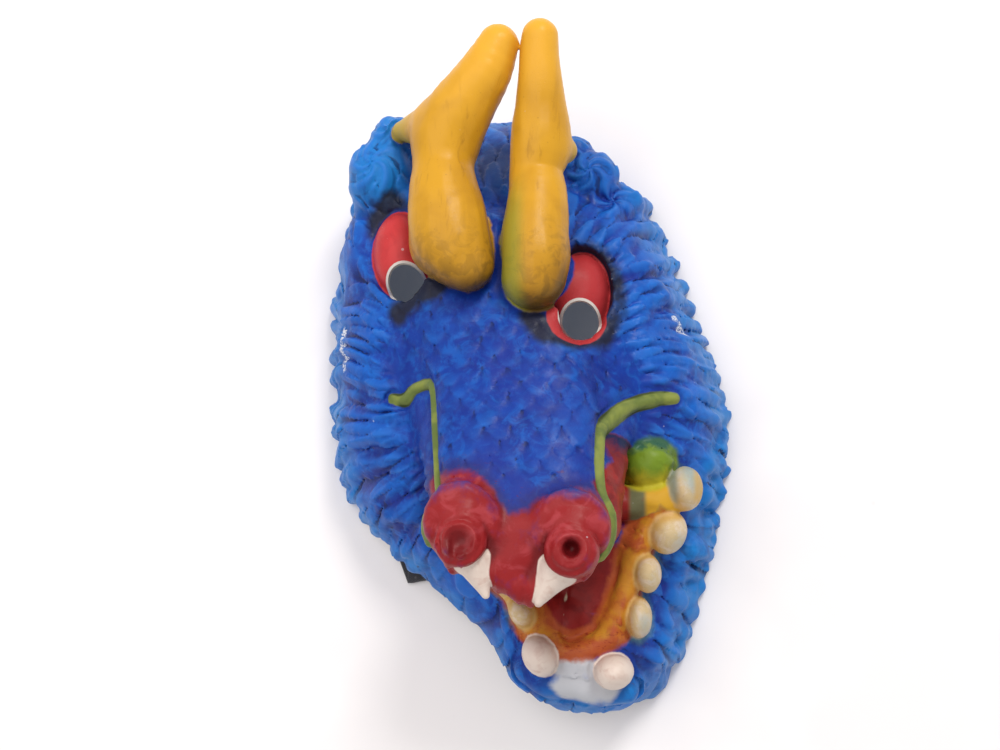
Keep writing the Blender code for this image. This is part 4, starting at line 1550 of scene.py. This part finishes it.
@dataclass(frozen=True)
class PaintedLatex:
    """The casting's finish: sprayed blues and each other part in its own brushed colour, with painted
    shade and highlights on its relief and a faint painted glow on its inside.
    """

    effects: Effects
    blue: str = "0f42a6"
    blue_deep: str = "0a2a86"
    blue_light: str = "1465c4"
    blue_pale: str = "2a72cc"
    violet: str = "1f2f8c"
    crease: str = "0a1748"
    blue_painted_light: str = "1f86cf"
    crown: str = "1c3f80"
    horn: str = "cd9826"
    horn_low: str = "bd8a22"
    horn_highlight: str = "dba93c"
    horn_tip: str = "e8ad36"
    horn_grain: str = "93661f"
    horn_brown: str = "7a5a22"
    horn_green: str = "8c8f33"
    brown: str = "4a3a1a"
    eye: str = "c23a3c"
    eye_deep: str = "9a2a30"
    shade: str = "1c1c22"
    nose: str = "8f2023"
    nose_deep: str = "5f1014"
    nose_pale: str = "a2383e"
    plum: str = "2c1c4c"
    mouth: str = "932522"
    mouth_deep: str = "76181a"
    navy_shade: str = "101f4a"
    orange: str = "b86a28"
    yellow: str = "cfa02c"
    tooth: str = "cbb68c"
    tooth_warm: str = "cfa348"
    tooth_cool: str = "5f8f96"
    gum_edge: str = "a8502a"
    ivory: str = "ddcfc4"
    blush: str = "a87464"
    lip: str = "bcbfc4"
    green: str = "6f8a26"
    lime: str = "b9b02c"
    teal_and_shade: str = "14504e"
    whisker: str = "5f7038"
    whisker_pale: str = "8d9646"
    whisker_shade: str = "3a4520"
    latex: str = "d9cfb8"
    latex_deep: str = "b9a988"
    chalk: str = "dfe3ea"
    # The faint glow painted on the inside, for light through the thin latex.
    glow: str = "4d5970"
    glow_strength: float = 0.4
    rim_white: str = "cfcbc6"
    corner_grey: str = "6d6f4f"

    def mask(
        self, graph: Graph, distance: object, edge: float, soft: float, ragged: float,
        cell: float = 0.004,
    ) -> bpy.types.NodeSocket:
        """A painted mask.

        Args:
            graph: The material's graph.
            distance: The distance's output, in steps.
            edge: Where the paint ends.
            soft: How soft its edge is.
            ragged: How far the edge wanders.
            cell: The size of its wandering, in metres.

        Returns:
            The mask's output.
        """
        label = f"wander {cell}"
        if label not in graph.marks:
            graph.marks[label] = graph.noise(cell, 3, 0.6)
        wander = graph.marks[label]
        node = graph.use(
            self.effects.edge, Distance=distance, Edge=edge, Softness=soft, Raggedness=ragged,
            Wander=wander,
        )
        return node.outputs["Mask"]

    def skin(self, graph: Graph) -> bpy.types.NodeSocket:
        """The sprayed blue of the face, with painted shade deep in its creases and painted highlights on
        its crests and raised scales.

        Args:
            graph: The material's graph.

        Returns:
            The colour's output.
        """
        brush = graph.use(self.effects.brush, Fineness=34.0, Warp=1.3)
        fine = graph.use(self.effects.brush, Fineness=95.0, Warp=0.8)
        crest = graph.zone("crest")
        colour = graph.mix(
            graph.step(brush.outputs["Broad"], 0.36, 0.62), paint(self.blue), paint(self.blue_deep)
        )
        bright = graph.times(graph.step(brush.outputs["Fine"], 0.46, 0.66), 0.85)
        colour = graph.over(colour, bright, self.blue_light)
        veil = graph.noise(0.030, 4, 0.6, 0.9, offset=0.31)
        colour = graph.over(colour, graph.times(graph.step(veil, 0.48, 0.66), 0.72), self.violet)
        streak = graph.step(fine.outputs["Fine"], 0.50, 0.70)
        colour = graph.over(colour, graph.times(streak, 0.24), self.blue_pale)
        shadow = graph.times(graph.step(fine.outputs["Broad"], 0.48, 0.30), 0.30)
        colour = graph.over(colour, shadow, self.crease)
        inland = graph.step(graph.plus(graph.zone("rim"), graph.times(veil, 16.0)), 22.0, 44.0)
        colour = graph.over(colour, graph.times(inland, 0.42), self.blue_deep)
        # Painted highlight on the crests of the form and painted shade in its creases.
        colour = graph.over(colour, graph.times(graph.step(crest, 0.5, 1.6), 0.55), self.blue_light)
        colour = graph.over(colour, graph.times(graph.step(crest, 0.1, -1.3), 0.80), self.blue_deep)
        # Painted light: lighter blue towards the rim for light showing through the thin latex, and a
        # painted highlight on the tuft's crests.
        thin = graph.times(self.mask(graph, graph.zone("rim"), 4.0, 14.0, 22.0, 0.02), 0.66)
        split = graph.add("ShaderNodeSeparateXYZ")
        graph.feed(split.inputs[0], graph.place())
        tuft = graph.times(
            graph.step(split.outputs[0], -0.042, -0.054), graph.step(split.outputs[1], 0.066, 0.080)
        )
        lit = graph.times(tuft, graph.step(crest, -0.6, 0.8))
        colour = graph.over(colour, graph.math("MAXIMUM", thin, graph.times(lit, 0.6)), self.blue_painted_light)
        run = graph.noise(0.010, 4, 0.6, 0.8, stretch=(1, 1, 0.35), offset=0.23)
        colour = graph.over(colour, graph.times(graph.step(run, 0.52, 0.66), 0.40), self.blue_deep)
        # Painted highlight on the raised half of each scale and plume, painted shade in the hollows
        # between them.
        relief = graph.zone("relief")
        colour = graph.over(colour, graph.times(graph.step(relief, 0.05, 0.60), 0.55), self.blue_pale)
        return graph.over(colour, graph.times(graph.step(relief, -0.04, -0.40), 0.78), self.crease)

    def layered(
        self, graph: Graph, colour: bpy.types.NodeSocket, layers: Sequence[tuple[object, object]]
    ) -> bpy.types.NodeSocket:
        """Paints masked colours over each other.

        Args:
            graph: The material's graph.
            colour: The first colour.
            layers: Each mask with its colour, a hex code or an output.

        Returns:
            The last colour's output.
        """
        for mask, over in layers:
            colour = graph.mix(mask, colour, paint(over) if isinstance(over, str) else over)
        return colour

    def horns(self, graph: Graph) -> bpy.types.NodeSocket:
        """Ochre horns with brown grain and painted highlights on their crests, greener low on their
        sides, browner on the bulbs with painted shade low on them and under them.

        Args:
            graph: The material's graph.

        Returns:
            The colour's output.
        """
        grain = graph.noise(0.0035, 5, 0.6, 0.6, stretch=(1, 0.14, 1))
        cloud = graph.noise(0.022, 3, 0.5, 0.4, offset=0.7)
        split = graph.add("ShaderNodeSeparateXYZ")
        graph.feed(split.inputs[0], graph.place())
        height, along = split.outputs[2], split.outputs[1]
        colour = graph.mix(graph.step(cloud, 0.38, 0.66), paint(self.horn), paint(self.horn_low))
        # Painted highlight on the horns' crests.
        colour = graph.over(
            colour, graph.times(graph.step(graph.zone("crest"), 0.2, 1.3), 0.35), self.horn_highlight
        )
        colour = graph.over(colour, graph.times(graph.step(grain, 0.56, 0.74), 0.42), self.horn_grain)
        low = graph.plus(height, graph.times(graph.math("SUBTRACT", cloud, 0.5), 0.02))
        colour = graph.over(colour, graph.times(graph.step(low, 0.0760, 0.0610), 0.72), self.horn_green)
        foot = graph.plus(along, graph.times(graph.math("SUBTRACT", grain, 0.5), 0.02))
        # Brown over the bulbs, stronger on their lower part as painted shade.
        bulb = graph.times(
            graph.step(foot, 0.062, 0.036), graph.blend(graph.step(height, 0.082, 0.089), 0.66, 0.30)
        )
        spots = graph.times(bulb, graph.step(graph.noise(0.0075, 4, 0.6, 0.8, offset=0.44), 0.47, 0.60))
        colour = graph.over(colour, bulb, self.horn_grain)
        colour = graph.over(colour, spots, self.horn_brown)
        # Painted shade under the bulbs, where they overhang the brows.
        under = graph.times(graph.step(foot, 0.0400, 0.0270), graph.step(height, 0.0880, 0.0780))
        colour = graph.over(colour, graph.times(under, 0.85), self.brown)
        side = graph.times(
            graph.step(split.outputs[0], 0.0085, 0.0010), graph.step(split.outputs[0], -0.0065, -0.0045)
        )
        side = graph.times(side, graph.step(foot, 0.080, 0.056))
        colour = graph.over(colour, graph.times(side, 0.75), self.horn_green)
        tip = graph.times(graph.step(along, 0.090, 0.128), 0.7)
        colour = graph.over(colour, tip, self.horn_tip)
        pits = graph.use(self.effects.flecks, Fineness=520.0, Cover=0.12, Size=0.24).outputs[0]
        return graph.over(colour, graph.times(pits, 0.30), self.horn_grain)

    def teeth(self, graph: Graph) -> bpy.types.NodeSocket:
        """Cream teeth, cooler towards the lips, with brown in their cracks.

        Args:
            graph: The material's graph.

        Returns:
            The colour's output.
        """
        wear = graph.noise(0.006, 4, 0.6, 0.8, offset=0.2)
        crack = graph.noise(0.0045, 2, 0.5, 2.2, stretch=(1, 1, 0.4), offset=0.9)
        colour = graph.mix(
            graph.times(graph.step(wear, 0.40, 0.66), 0.6), paint(self.tooth), paint(self.ivory)
        )
        gum = graph.plus(graph.zone("gum"), graph.times(wear, 3.0))
        colour = graph.over(colour, graph.times(graph.step(gum, 8.0, 4.0), 0.7), self.tooth_warm)
        colour = graph.over(colour, graph.times(graph.step(gum, 9.0, 13.5), 0.65), self.tooth_cool)
        offset = graph.math("ABSOLUTE", graph.math("SUBTRACT", crack, 0.5))
        thin = graph.math("SUBTRACT", 1.0, graph.math("DIVIDE", offset, 0.012, clamp=True))
        return graph.over(colour, graph.times(thin, 0.35), self.blush)

    def colour(self, graph: Graph) -> bpy.types.NodeSocket:
        """Every painted part's colour, layer over layer.

        Args:
            graph: The material's graph.

        Returns:
            The colour's output.
        """
        zone, mask = graph.zone, self.mask
        crest = zone("crest")
        split = graph.add("ShaderNodeSeparateXYZ")
        graph.feed(split.inputs[0], graph.place())
        x, y = split.outputs[0], split.outputs[1]
        # Painted shade in the creases of the red nose and the mouth.
        deep = graph.step(crest, 0.05, -0.8)
        mottle = graph.noise(0.009, 4, 0.6, 0.7, offset=0.5)

        red = graph.mix(graph.step(mottle, 0.42, 0.68), paint(self.nose), paint(self.nose_pale))
        red = graph.over(red, graph.step(mottle, 0.60, 0.44), self.nose)
        red = graph.over(red, graph.times(deep, 0.8), self.nose_deep)
        throat = graph.mix(graph.step(mottle, 0.40, 0.62), paint(self.mouth), paint(self.mouth_deep))
        throat = graph.over(throat, graph.times(deep, 0.5), self.mouth_deep)
        worn = graph.times(graph.step(mottle, 0.40, 0.75), 0.45)
        eye = graph.mix(worn, paint(self.eye), paint(self.eye_deep))
        # The right eye is darkened with painted shade.
        eye = graph.over(eye, graph.times(graph.step(x, 0.0, 0.012), 0.55), self.eye_deep)
        pale = graph.times(graph.step(graph.noise(0.014, 3, 0.6, 0.4, offset=0.4), 0.40, 0.66), 0.7)
        whisker = graph.mix(pale, paint(self.whisker), paint(self.whisker_pale))
        # Painted shade in the whiskers' creases.
        whisker = graph.over(whisker, graph.step(crest, 0.3, -0.4), self.whisker_shade)
        scratch = graph.noise(0.0022, 3, 0.7, 1.5, stretch=(0.5, 1.6, 1), offset=0.6)
        orange = graph.mix(graph.step(mottle, 0.40, 0.58), paint(self.orange), paint(self.gum_edge))
        stroke = graph.times(
            graph.step(scratch, 0.54, 0.66), graph.blend(graph.step(y, -0.098, -0.108), 0.25, 0.70)
        )
        orange = graph.over(orange, stroke, self.mouth_deep)
        stain = graph.times(graph.step(graph.noise(0.007, 3, 0.6, 0.5), 0.46, 0.78), 0.45)
        fang = graph.mix(stain, paint(self.ivory), paint(self.blush))
        level = graph.plus(y, graph.times(graph.math("SUBTRACT", mottle, 0.5), 0.012))
        green = graph.mix(graph.step(level, -0.0400, -0.0470), paint(self.green), paint(self.lime))
        # Dark teal at the bulge's top, partly its paint and partly painted shade under the cheek.
        green = graph.over(green, graph.times(graph.step(level, -0.0360, -0.0310), 0.8), self.teal_and_shade)
        inner = mask(graph, zone("inner"), 0.6, 1.6, 2.4)
        # Navy painted shade in the mouth's corner hollow under the cheek.
        corner = graph.times(
            inner, graph.step(graph.plus(y, graph.times(mottle, 0.01)), -0.0330, -0.0260)
        )
        gum = mask(graph, zone("gum"), 2.4, 1.8, 2.6)
        stripe = graph.times(mask(graph, zone("gum"), 0.3, 1.2, 2.4, 0.007), 0.6)
        band = mask(graph, zone("ridge"), 0.9, 0.8, 1.2)
        side = graph.times(graph.step(level, -0.0575, -0.0540), graph.step(x, 0.0560, 0.0590))
        corner_tooth = graph.times(mask(graph, zone("tooth"), 1.0, 1.8, 1.6), graph.times(side, 0.6))
        bleed = graph.times(
            mask(graph, zone("nose"), 8.0, 5.0, 9.0, 0.007), graph.step(scratch, 0.60, 0.72)
        )
        layers = [
            # Painted shadow of the horns on the crown between them.
            (graph.times(mask(graph, zone("crown"), 2.0, 9.0, 6.0, 0.012), 0.8), self.crown),
            # Black paint round the eyes, with painted shade under the left horn.
            (graph.times(mask(graph, zone("halo"), 1.0, 4.5, 4.0, 0.007), 0.93), self.shade),
            (graph.times(mask(graph, zone("nose"), 5.0, 9.0, 10.0, 0.007), 0.55), self.plum),
            (graph.times(bleed, 0.7), self.nose_deep),
            (mask(graph, zone("nose"), 0.0, 4.5, 7.0, 0.007), red),
            (inner, throat),
            (corner, self.navy_shade),
            (graph.times(mask(graph, zone("tongue"), 1.0, 2.0, 2.0), 0.55), self.mouth_deep),
            (graph.times(mask(graph, zone("lip"), 4.2, 3.0, 3.0, 0.007), 0.96), self.lip),
            (graph.times(mask(graph, zone("tooth"), 2.6, 3.0, 3.0), 0.7), self.tooth_cool),
            (mask(graph, zone("gum"), 4.2, 2.6, 3.0), self.gum_edge),
            (gum, orange),
            (graph.times(stripe, 0.85), self.yellow),
            (band, self.mouth),
            (graph.times(band, graph.step(x, 0.0440, 0.0465)), self.corner_grey),
            (graph.times(band, graph.step(x, 0.0505, 0.0530)), self.yellow),
            (mask(graph, zone("bulge"), 3.2, 2.4, 2.4), green),
            (mask(graph, zone("tooth"), 1.0, 1.8, 1.6), self.teeth(graph)),
            (graph.times(corner_tooth, graph.step(x, 0.0660, 0.0630)), self.tooth_cool),
            (graph.times(corner_tooth, graph.step(x, 0.0700, 0.0725)), self.yellow),
            (mask(graph, zone("lower_fang"), 0.9, 0.9, 1.4), fang),
            (mask(graph, zone("eye"), 0.9, 0.7, 0.9), eye),
            (mask(graph, zone("horn"), 1.3, 1.2, 2.0), self.horns(graph)),
            (mask(graph, zone("upper_fang"), 0.8, 0.6, 0.4), fang),
            # Painted shade in the nostrils' hollows.
            (graph.times(mask(graph, zone("nostril"), 0.6, 2.4, 1.0), 0.75), self.nose_deep),
            (mask(graph, zone("whisker"), 0.7, 0.5, 0.7), whisker),
        ]
        colour = self.layered(graph, self.skin(graph), layers)
        chips = graph.times(mask(graph, zone("scuff"), 0.6, 1.0, 5.0), graph.step(scratch, 0.44, 0.52))
        raw = graph.mix(
            graph.step(graph.noise(0.016, 4, 0.6, 0.5), 0.42, 0.66), paint(self.latex),
            paint(self.latex_deep),
        )
        bare = graph.step(zone("depth"), 0.85, 1.15)
        # The drilled walls beside the eye holes are painted dark as painted shade, brown where they cut
        # a horn.
        drilled_wall_shade = graph.times(graph.step(zone("hole"), 0.95, 0.75), graph.step(zone("eye"), 1.2, 1.8))
        ring = graph.times(graph.step(zone("hole"), 1.25, 0.95), graph.step(zone("eye"), 1.4, 1.0))
        dust = graph.use(self.effects.flecks, Fineness=300.0, Cover=0.02, Size=0.22).outputs[0]
        wall = graph.mix(graph.step(zone("horn"), 1.6, 0.6), paint(self.shade), paint(self.horn_grain))
        return self.layered(
            graph, colour,
            [
                (chips, self.chalk), (ring, self.rim_white), (bare, raw), (drilled_wall_shade, wall),
                (graph.times(dust, 0.35), self.chalk),
            ],
        )

    def make(self) -> bpy.types.Material:
        """Builds the material.

        Returns:
            The material.
        """
        material, graph, shader = start_material("painted_latex")
        graph.feed(shader.inputs["Base Color"], self.colour(graph))
        cloud = graph.noise(0.012, 4, 0.6, offset=0.15)
        gloss = graph.blend(graph.step(cloud, 0.35, 0.7), 0.36, 0.56)
        gloss = graph.blend(graph.step(graph.zone("horn"), 1.4, 0.6), gloss, 0.34)
        gloss = graph.blend(graph.step(graph.zone("nose"), 1.0, -1.0), gloss, 0.38)
        gloss = graph.blend(graph.step(graph.zone("depth"), 0.85, 1.15), gloss, 0.78)
        graph.feed(shader.inputs["Roughness"], gloss)
        # A faint emission on the inside of the casting: painted glow for light showing through the thin
        # latex.
        within = graph.step(graph.zone("depth"), 1.3, 1.9)
        graph.feed(shader.inputs["Emission Color"], graph.mix(within, (0, 0, 0, 1), paint(self.glow)))
        shader.inputs["Emission Strength"].default_value = self.glow_strength
        shader.inputs["Specular IOR Level"].default_value = 0.20
        pores = graph.use(self.effects.flecks, Fineness=750.0, Cover=0.35, Size=0.34).outputs[0]
        brush = graph.use(self.effects.brush, Fineness=420.0, Warp=0.6)
        height = graph.math("SUBTRACT", graph.times(brush.outputs["Fine"], 0.5), graph.times(pores, 0.4))
        bump = graph.add("ShaderNodeBump")
        bump.inputs["Strength"].default_value = 0.35
        bump.inputs["Distance"].default_value = 0.0004
        graph.feed(bump.inputs["Height"], height)
        graph.feed(shader.inputs["Normal"], bump.outputs[0])
        return material


@dataclass(frozen=True)
class WovenElastic:
    """The strap's finish: black ribbed webbing, lighter on the crests of its weave, with specks of lint.
    """

    effects: Effects
    thread: str = "232329"
    thread_pale: str = "3c3b45"
    lint: str = "8a8a92"
    rib: float = 0.00125
    pick: float = 0.0009

    def make(self) -> bpy.types.Material:
        """Builds the material.

        Returns:
            The material.
        """
        material, graph, shader = start_material("black_elastic")
        split = graph.add("ShaderNodeSeparateXYZ")
        graph.feed(split.inputs[0], graph.place(Coordinates.UV))
        across = graph.math("SINE", graph.times(split.outputs[0], 2 * math.pi / self.rib))
        along = graph.math("SINE", graph.times(split.outputs[1], 2 * math.pi / self.pick))
        weave = graph.times(across, along)
        cloud = graph.noise(0.010, 3, 0.6)
        share = graph.times(graph.step(graph.plus(weave, graph.times(cloud, 1.2)), 0.2, 1.5), 0.8)
        colour = graph.mix(share, paint(self.thread), paint(self.thread_pale))
        lint = graph.use(self.effects.flecks, Fineness=500.0, Cover=0.08, Size=0.3).outputs[0]
        graph.feed(
            shader.inputs["Base Color"], graph.mix(graph.times(lint, 0.3), colour, paint(self.lint))
        )
        graph.feed(shader.inputs["Roughness"], graph.blend(graph.step(weave, -0.5, 0.8), 0.9, 0.72))
        shader.inputs["Sheen Weight"].default_value = 0.25
        shader.inputs["Sheen Roughness"].default_value = 0.6
        bump = graph.add("ShaderNodeBump")
        bump.inputs["Strength"].default_value = 0.6
        bump.inputs["Distance"].default_value = 0.0003
        graph.feed(bump.inputs["Height"], weave)
        graph.feed(shader.inputs["Normal"], bump.outputs[0])
        return material


@dataclass(frozen=True)
class PaleTable:
    """The table's finish: smooth white board."""

    effects: Effects
    board: str = "f4f3f4"
    board_low: str = "eeedef"
    speck: str = "c9c4c4"

    def make(self) -> bpy.types.Material:
        """Builds the material.

        Returns:
            The material.
        """
        material, graph, shader = start_material("pale_table")
        cloud = graph.noise(0.12, 3, 0.5)
        flecks = graph.use(self.effects.flecks, Fineness=60.0, Cover=0.04, Size=0.10).outputs[0]
        colour = graph.mix(graph.step(cloud, 0.4, 0.6), paint(self.board), paint(self.board_low))
        graph.feed(
            shader.inputs["Base Color"], graph.mix(graph.times(flecks, 0.15), colour, paint(self.speck))
        )
        graph.feed(shader.inputs["Roughness"], graph.blend(graph.step(cloud, 0.3, 0.7), 0.55, 0.66))
        return material


@dataclass
class ElasticStrap:
    """The head strap, flat on the table and folded twice under the hollow mask. Sizes are in metres."""

    place: Vector
    width: float = 0.0250
    thickness: float = 0.0012
    rise: float = 0.0050
    rise_length: float = 0.0100
    wall: float = 0.0022
    wall_gap: float = 0.0020
    layer_gap: float = 0.0008
    edge_start: tuple[float, float] = (-70.7, -32.0)
    heading: tuple[float, float] = (0.36, -0.933)
    folds: Sequence[tuple[float, tuple[float, float], int]] = (
        (61.0, (0.195, 0.981), 1), (66.5, (0.717, 0.697), -1)
    )
    end_x: float = 87.0
    spans_across: int = 40
    span_length: float = 0.0009
    rib_height: float = 0.00010
    ribs: int = 10
    pick_spacing: float = 0.0036
    rib_sink: float = 0.0001
    length: float = 0.0

    def folded(self, rows: Array, place: float, direction: tuple[float, float], side: int) -> Array:
        """Folds points back over a bend that starts at a line across the strap.

        Args:
            rows: Points as (along, across, height).
            place: Where the line meets the strap's middle.
            direction: The line's direction, as (along, across).
            side: 1 to fold upwards and -1 to fold downwards.

        Returns:
            The folded rows.
        """
        radius = (self.thickness + self.layer_gap) / 2
        line = Vector(direction).normalized()
        normal = np.array([line.y, -line.x])
        depth = (rows[:, 0] - place) * normal[0] + rows[:, 1] * normal[1]
        angle = np.clip(depth / radius, 0, math.pi)
        beyond = np.maximum(depth - math.pi * radius, 0)
        height = rows[:, 2] * side
        new_depth = np.minimum(depth, 0) + (radius - height) * np.sin(angle) - beyond
        made = rows.copy()
        made[:, :2] += (new_depth - depth)[:, None] * normal
        made[:, 2] = side * (radius - (radius - height) * np.cos(angle))
        return made

    def laid(self, rows: Array, folds: Sequence[tuple[float, tuple[float, float], int]]) -> Array:
        """Lays points of the flat strap on the table.

        Args:
            rows: Points as (along, across, height).
            folds: The folds, each with its place along the strap.

        Returns:
            Rows of three coordinates.
        """
        heading = np.array(self.heading) / np.linalg.norm(self.heading)
        inward = np.array([-heading[1], heading[0]])
        start = np.array(self.edge_start) * STEP + inward * (self.wall + self.wall_gap + self.width / 2)
        for place, direction, side in reversed(folds):
            rows = self.folded(rows, place, direction, side)
        flat = rows[:, :1] * heading + rows[:, 1:2] * inward + start
        return np.column_stack([flat, rows[:, 2]])

    def build(self) -> bpy.types.Object:
        """Makes the strap with its raised ribs.

        Returns:
            The piece, in place.
        """
        folds, reached = [], 0.0
        for run, direction, side in self.folds:
            lean = direction[0] / direction[1]
            bend = math.pi * (self.thickness + self.layer_gap) / 2
            reached += run * STEP + (self.width / 2 * lean if not folds else bend)
            folds.append((reached, direction, side))
        probe = np.array([[reached + 2 * self.width, 0, 0], [reached + 3 * self.width, 0, 0]])
        first, second = self.laid(probe, folds)[:, 0]
        room = self.end_x * STEP - self.wall - self.wall_gap - first
        self.length = reached + 2 * self.width + room * self.width / (second - first)

        steps = int(self.length / self.span_length)
        along, across = np.meshgrid(
            np.linspace(0, self.length, steps + 1), np.linspace(
                -1, 1, self.spans_across + 1
            ), indexing="ij"
        )
        wave = self.rib_height * (np.cos(across * math.pi * self.ribs) - 1) * 0.5
        pick = 0.35 * self.rib_height * np.sin(
            along * 2 * math.pi / self.pick_spacing + across * math.pi * self.ribs
        )
        round_off = 1 - np.abs(across) ** 14
        half = (self.thickness / 2 - self.rib_sink + wave + pick) * (0.35 + 0.65 * round_off)
        sides = []
        for sign in (1, -1):
            rows = np.column_stack(
                [along.ravel(), across.ravel() * self.width / 2, (sign * half).ravel()]
            )
            sides.append(self.laid(rows, folds))
        left = np.clip(1 - along.ravel() / self.rise_length, 0, 1)
        right = np.clip(1 - (self.length - along.ravel()) / self.rise_length, 0, 1)
        up = self.rise * (left**2 * (3 - 2 * left) + right**2 * (3 - 2 * right)) + self.thickness / 2
        for rows in sides:
            rows[:, 2] += up
        count = self.spans_across + 1
        index = np.arange((steps + 1) * count).reshape(steps + 1, count)
        quads = np.stack(
            [index[:-1, :-1], index[1:, :-1], index[1:, 1:], index[:-1, 1:]], axis=-1
        ).reshape(-1, 4)
        other = quads[:, ::-1] + index.size
        loop = np.concatenate([index[0, :-1], index[:-1, -1], index[-1, :0:-1], index[:0:-1, 0]])
        after = np.roll(loop, -1)
        rim = np.column_stack([loop, after, after + index.size, loop + index.size])
        strap = mesh_object(
            "head_strap", np.vstack(sides) + np.array(self.place), np.vstack([quads, other, rim])
        )
        mesh = bmesh.new()
        mesh.from_mesh(strap.data)
        bmesh.ops.recalc_face_normals(mesh, faces=mesh.faces[:])
        mesh.to_mesh(strap.data)
        mesh.free()
        flat = np.column_stack([across.ravel() * self.width / 2, along.ravel()])
        flat = np.vstack([flat, flat])
        corners = np.zeros(len(strap.data.loops), np.int32)
        strap.data.loops.foreach_get("vertex_index", corners)
        strap.data.uv_layers.new(name="flat").data.foreach_set(
            "uv", flat[corners].astype(np.float32).ravel()
        )
        strap.data.shade_smooth()
        return strap


@dataclass(frozen=True)
class Studio:
    """The table, the soft light from the upper right, and the camera at the picture's angle."""

    effects: Effects
    place: Vector
    tilt_right: float = 6.0
    tilt_chin: float = 10.0
    distance: float = 0.540
    aim_height: float = 0.030
    lens: float = 45.0
    sensor: float = 36.0
    table_side: float = 6.0
    table_gap: float = 0.0002
    key: tuple[
        tuple[float, float, float], float, float, str
    ] = ((0.50, 1.00, 1.35), 0.45, 15.0, "fffaf4")
    fill: tuple[tuple[float, float, float], float, float, str] = ((-0.6, 0.2, 1.5), 1.6, 13.0, "fff9f6")
    room: str = "fdf9f8"
    room_strength: float = 0.60

    def table(self) -> bpy.types.Object:
        """The table's top."""
        mesh = bmesh.new()
        bmesh.ops.create_grid(mesh, x_segments=8, y_segments=8, size=self.table_side / 2)
        data = bpy.data.meshes.new("table_top")
        mesh.to_mesh(data)
        mesh.free()
        table = bpy.data.objects.new("table_top", data)
        bpy.context.scene.collection.objects.link(table)
        table.location.z = -self.table_gap
        table.data.materials.append(PaleTable(self.effects).make())
        return table

    def camera(self) -> bpy.types.Object:
        """The camera, nearly straight above, a little to the right and towards the chin."""
        away = Vector(
            (math.tan(math.radians(self.tilt_right)), -math.tan(math.radians(self.tilt_chin)), 1)
        ).normalized()
        upward = (Vector((0, 1, 0)) - away * away.y).normalized()
        right = upward.cross(away)
        spot = self.place + Vector((0, 0, self.aim_height)) + away * self.distance
        data = bpy.data.cameras.new("picture_camera")
        data.lens, data.sensor_width = self.lens, self.sensor
        data.clip_start, data.clip_end = 0.01, 50.0
        camera = bpy.data.objects.new("picture_camera", data)
        camera.matrix_world = Matrix(
            [[right[i], upward[i], away[i], spot[i]] for i in range(3)] + [[0, 0, 0, 1]]
        )
        bpy.context.scene.collection.objects.link(camera)
        bpy.context.scene.camera = camera
        return camera

    def light(
        self, name: str, spot: tuple[float, float, float], size: float, power: float, tint: str
    ) -> bpy.types.Object:
        """A square soft light that faces the mask.

        Args:
            name: Its name.
            spot: Where it hangs.
            size: Its side.
            power: Its power in watts.
            tint: Its colour's hex code.

        Returns:
            The light.
        """
        data = bpy.data.lights.new(name, "AREA")
        data.size, data.energy, data.color = size, power, paint(tint)[:3]
        lamp = bpy.data.objects.new(name, data)
        lamp.location = spot
        aim = Vector((0, 0, self.aim_height))
        lamp.rotation_euler = (aim - Vector(spot)).to_track_quat("-Z", "Y").to_euler()
        bpy.context.scene.collection.objects.link(lamp)
        return lamp

    def build(self) -> None:
        """Sets up the table, lights, surroundings and camera."""
        self.table()
        self.light("key", *self.key)
        self.light("fill", *self.fill)
        world = bpy.data.worlds.new("pale_room")
        bpy.context.scene.world = world
        world.use_nodes = True
        sky = world.node_tree.nodes["Background"]
        sky.inputs["Color"].default_value = paint(self.room)
        sky.inputs["Strength"].default_value = self.room_strength
        self.camera()
        bpy.context.scene.view_settings.view_transform = "Standard"


def main() -> None:
    """Builds the studio, the casting and the strap, in that order."""
    logging.basicConfig(level=logging.INFO, format="%(name)s: %(message)s")
    effects = Effects(ragged_edge(), speckle(), brushwork())
    place = Vector(PLACE)
    Studio(effects, place).build()
    log.info("studio is ready")

    shell = MaskShell(DragonForm(), SkinCarving(), place).build()
    shell.data.materials.append(PaintedLatex(effects).make())
    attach(shell, "root")
    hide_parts("mask_shell")
    log.info("%s has %d faces", shell.name, len(shell.data.polygons))

    maker = ElasticStrap(place)
    strap = maker.build()
    strap.data.materials.append(WovenElastic(effects).make())
    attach(strap, "root")
    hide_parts("elastic_strap")
    log.info("%s has %d faces, and is %.3f m long", strap.name, len(strap.data.polygons), maker.length)


if __name__ == "__main__":
    main()
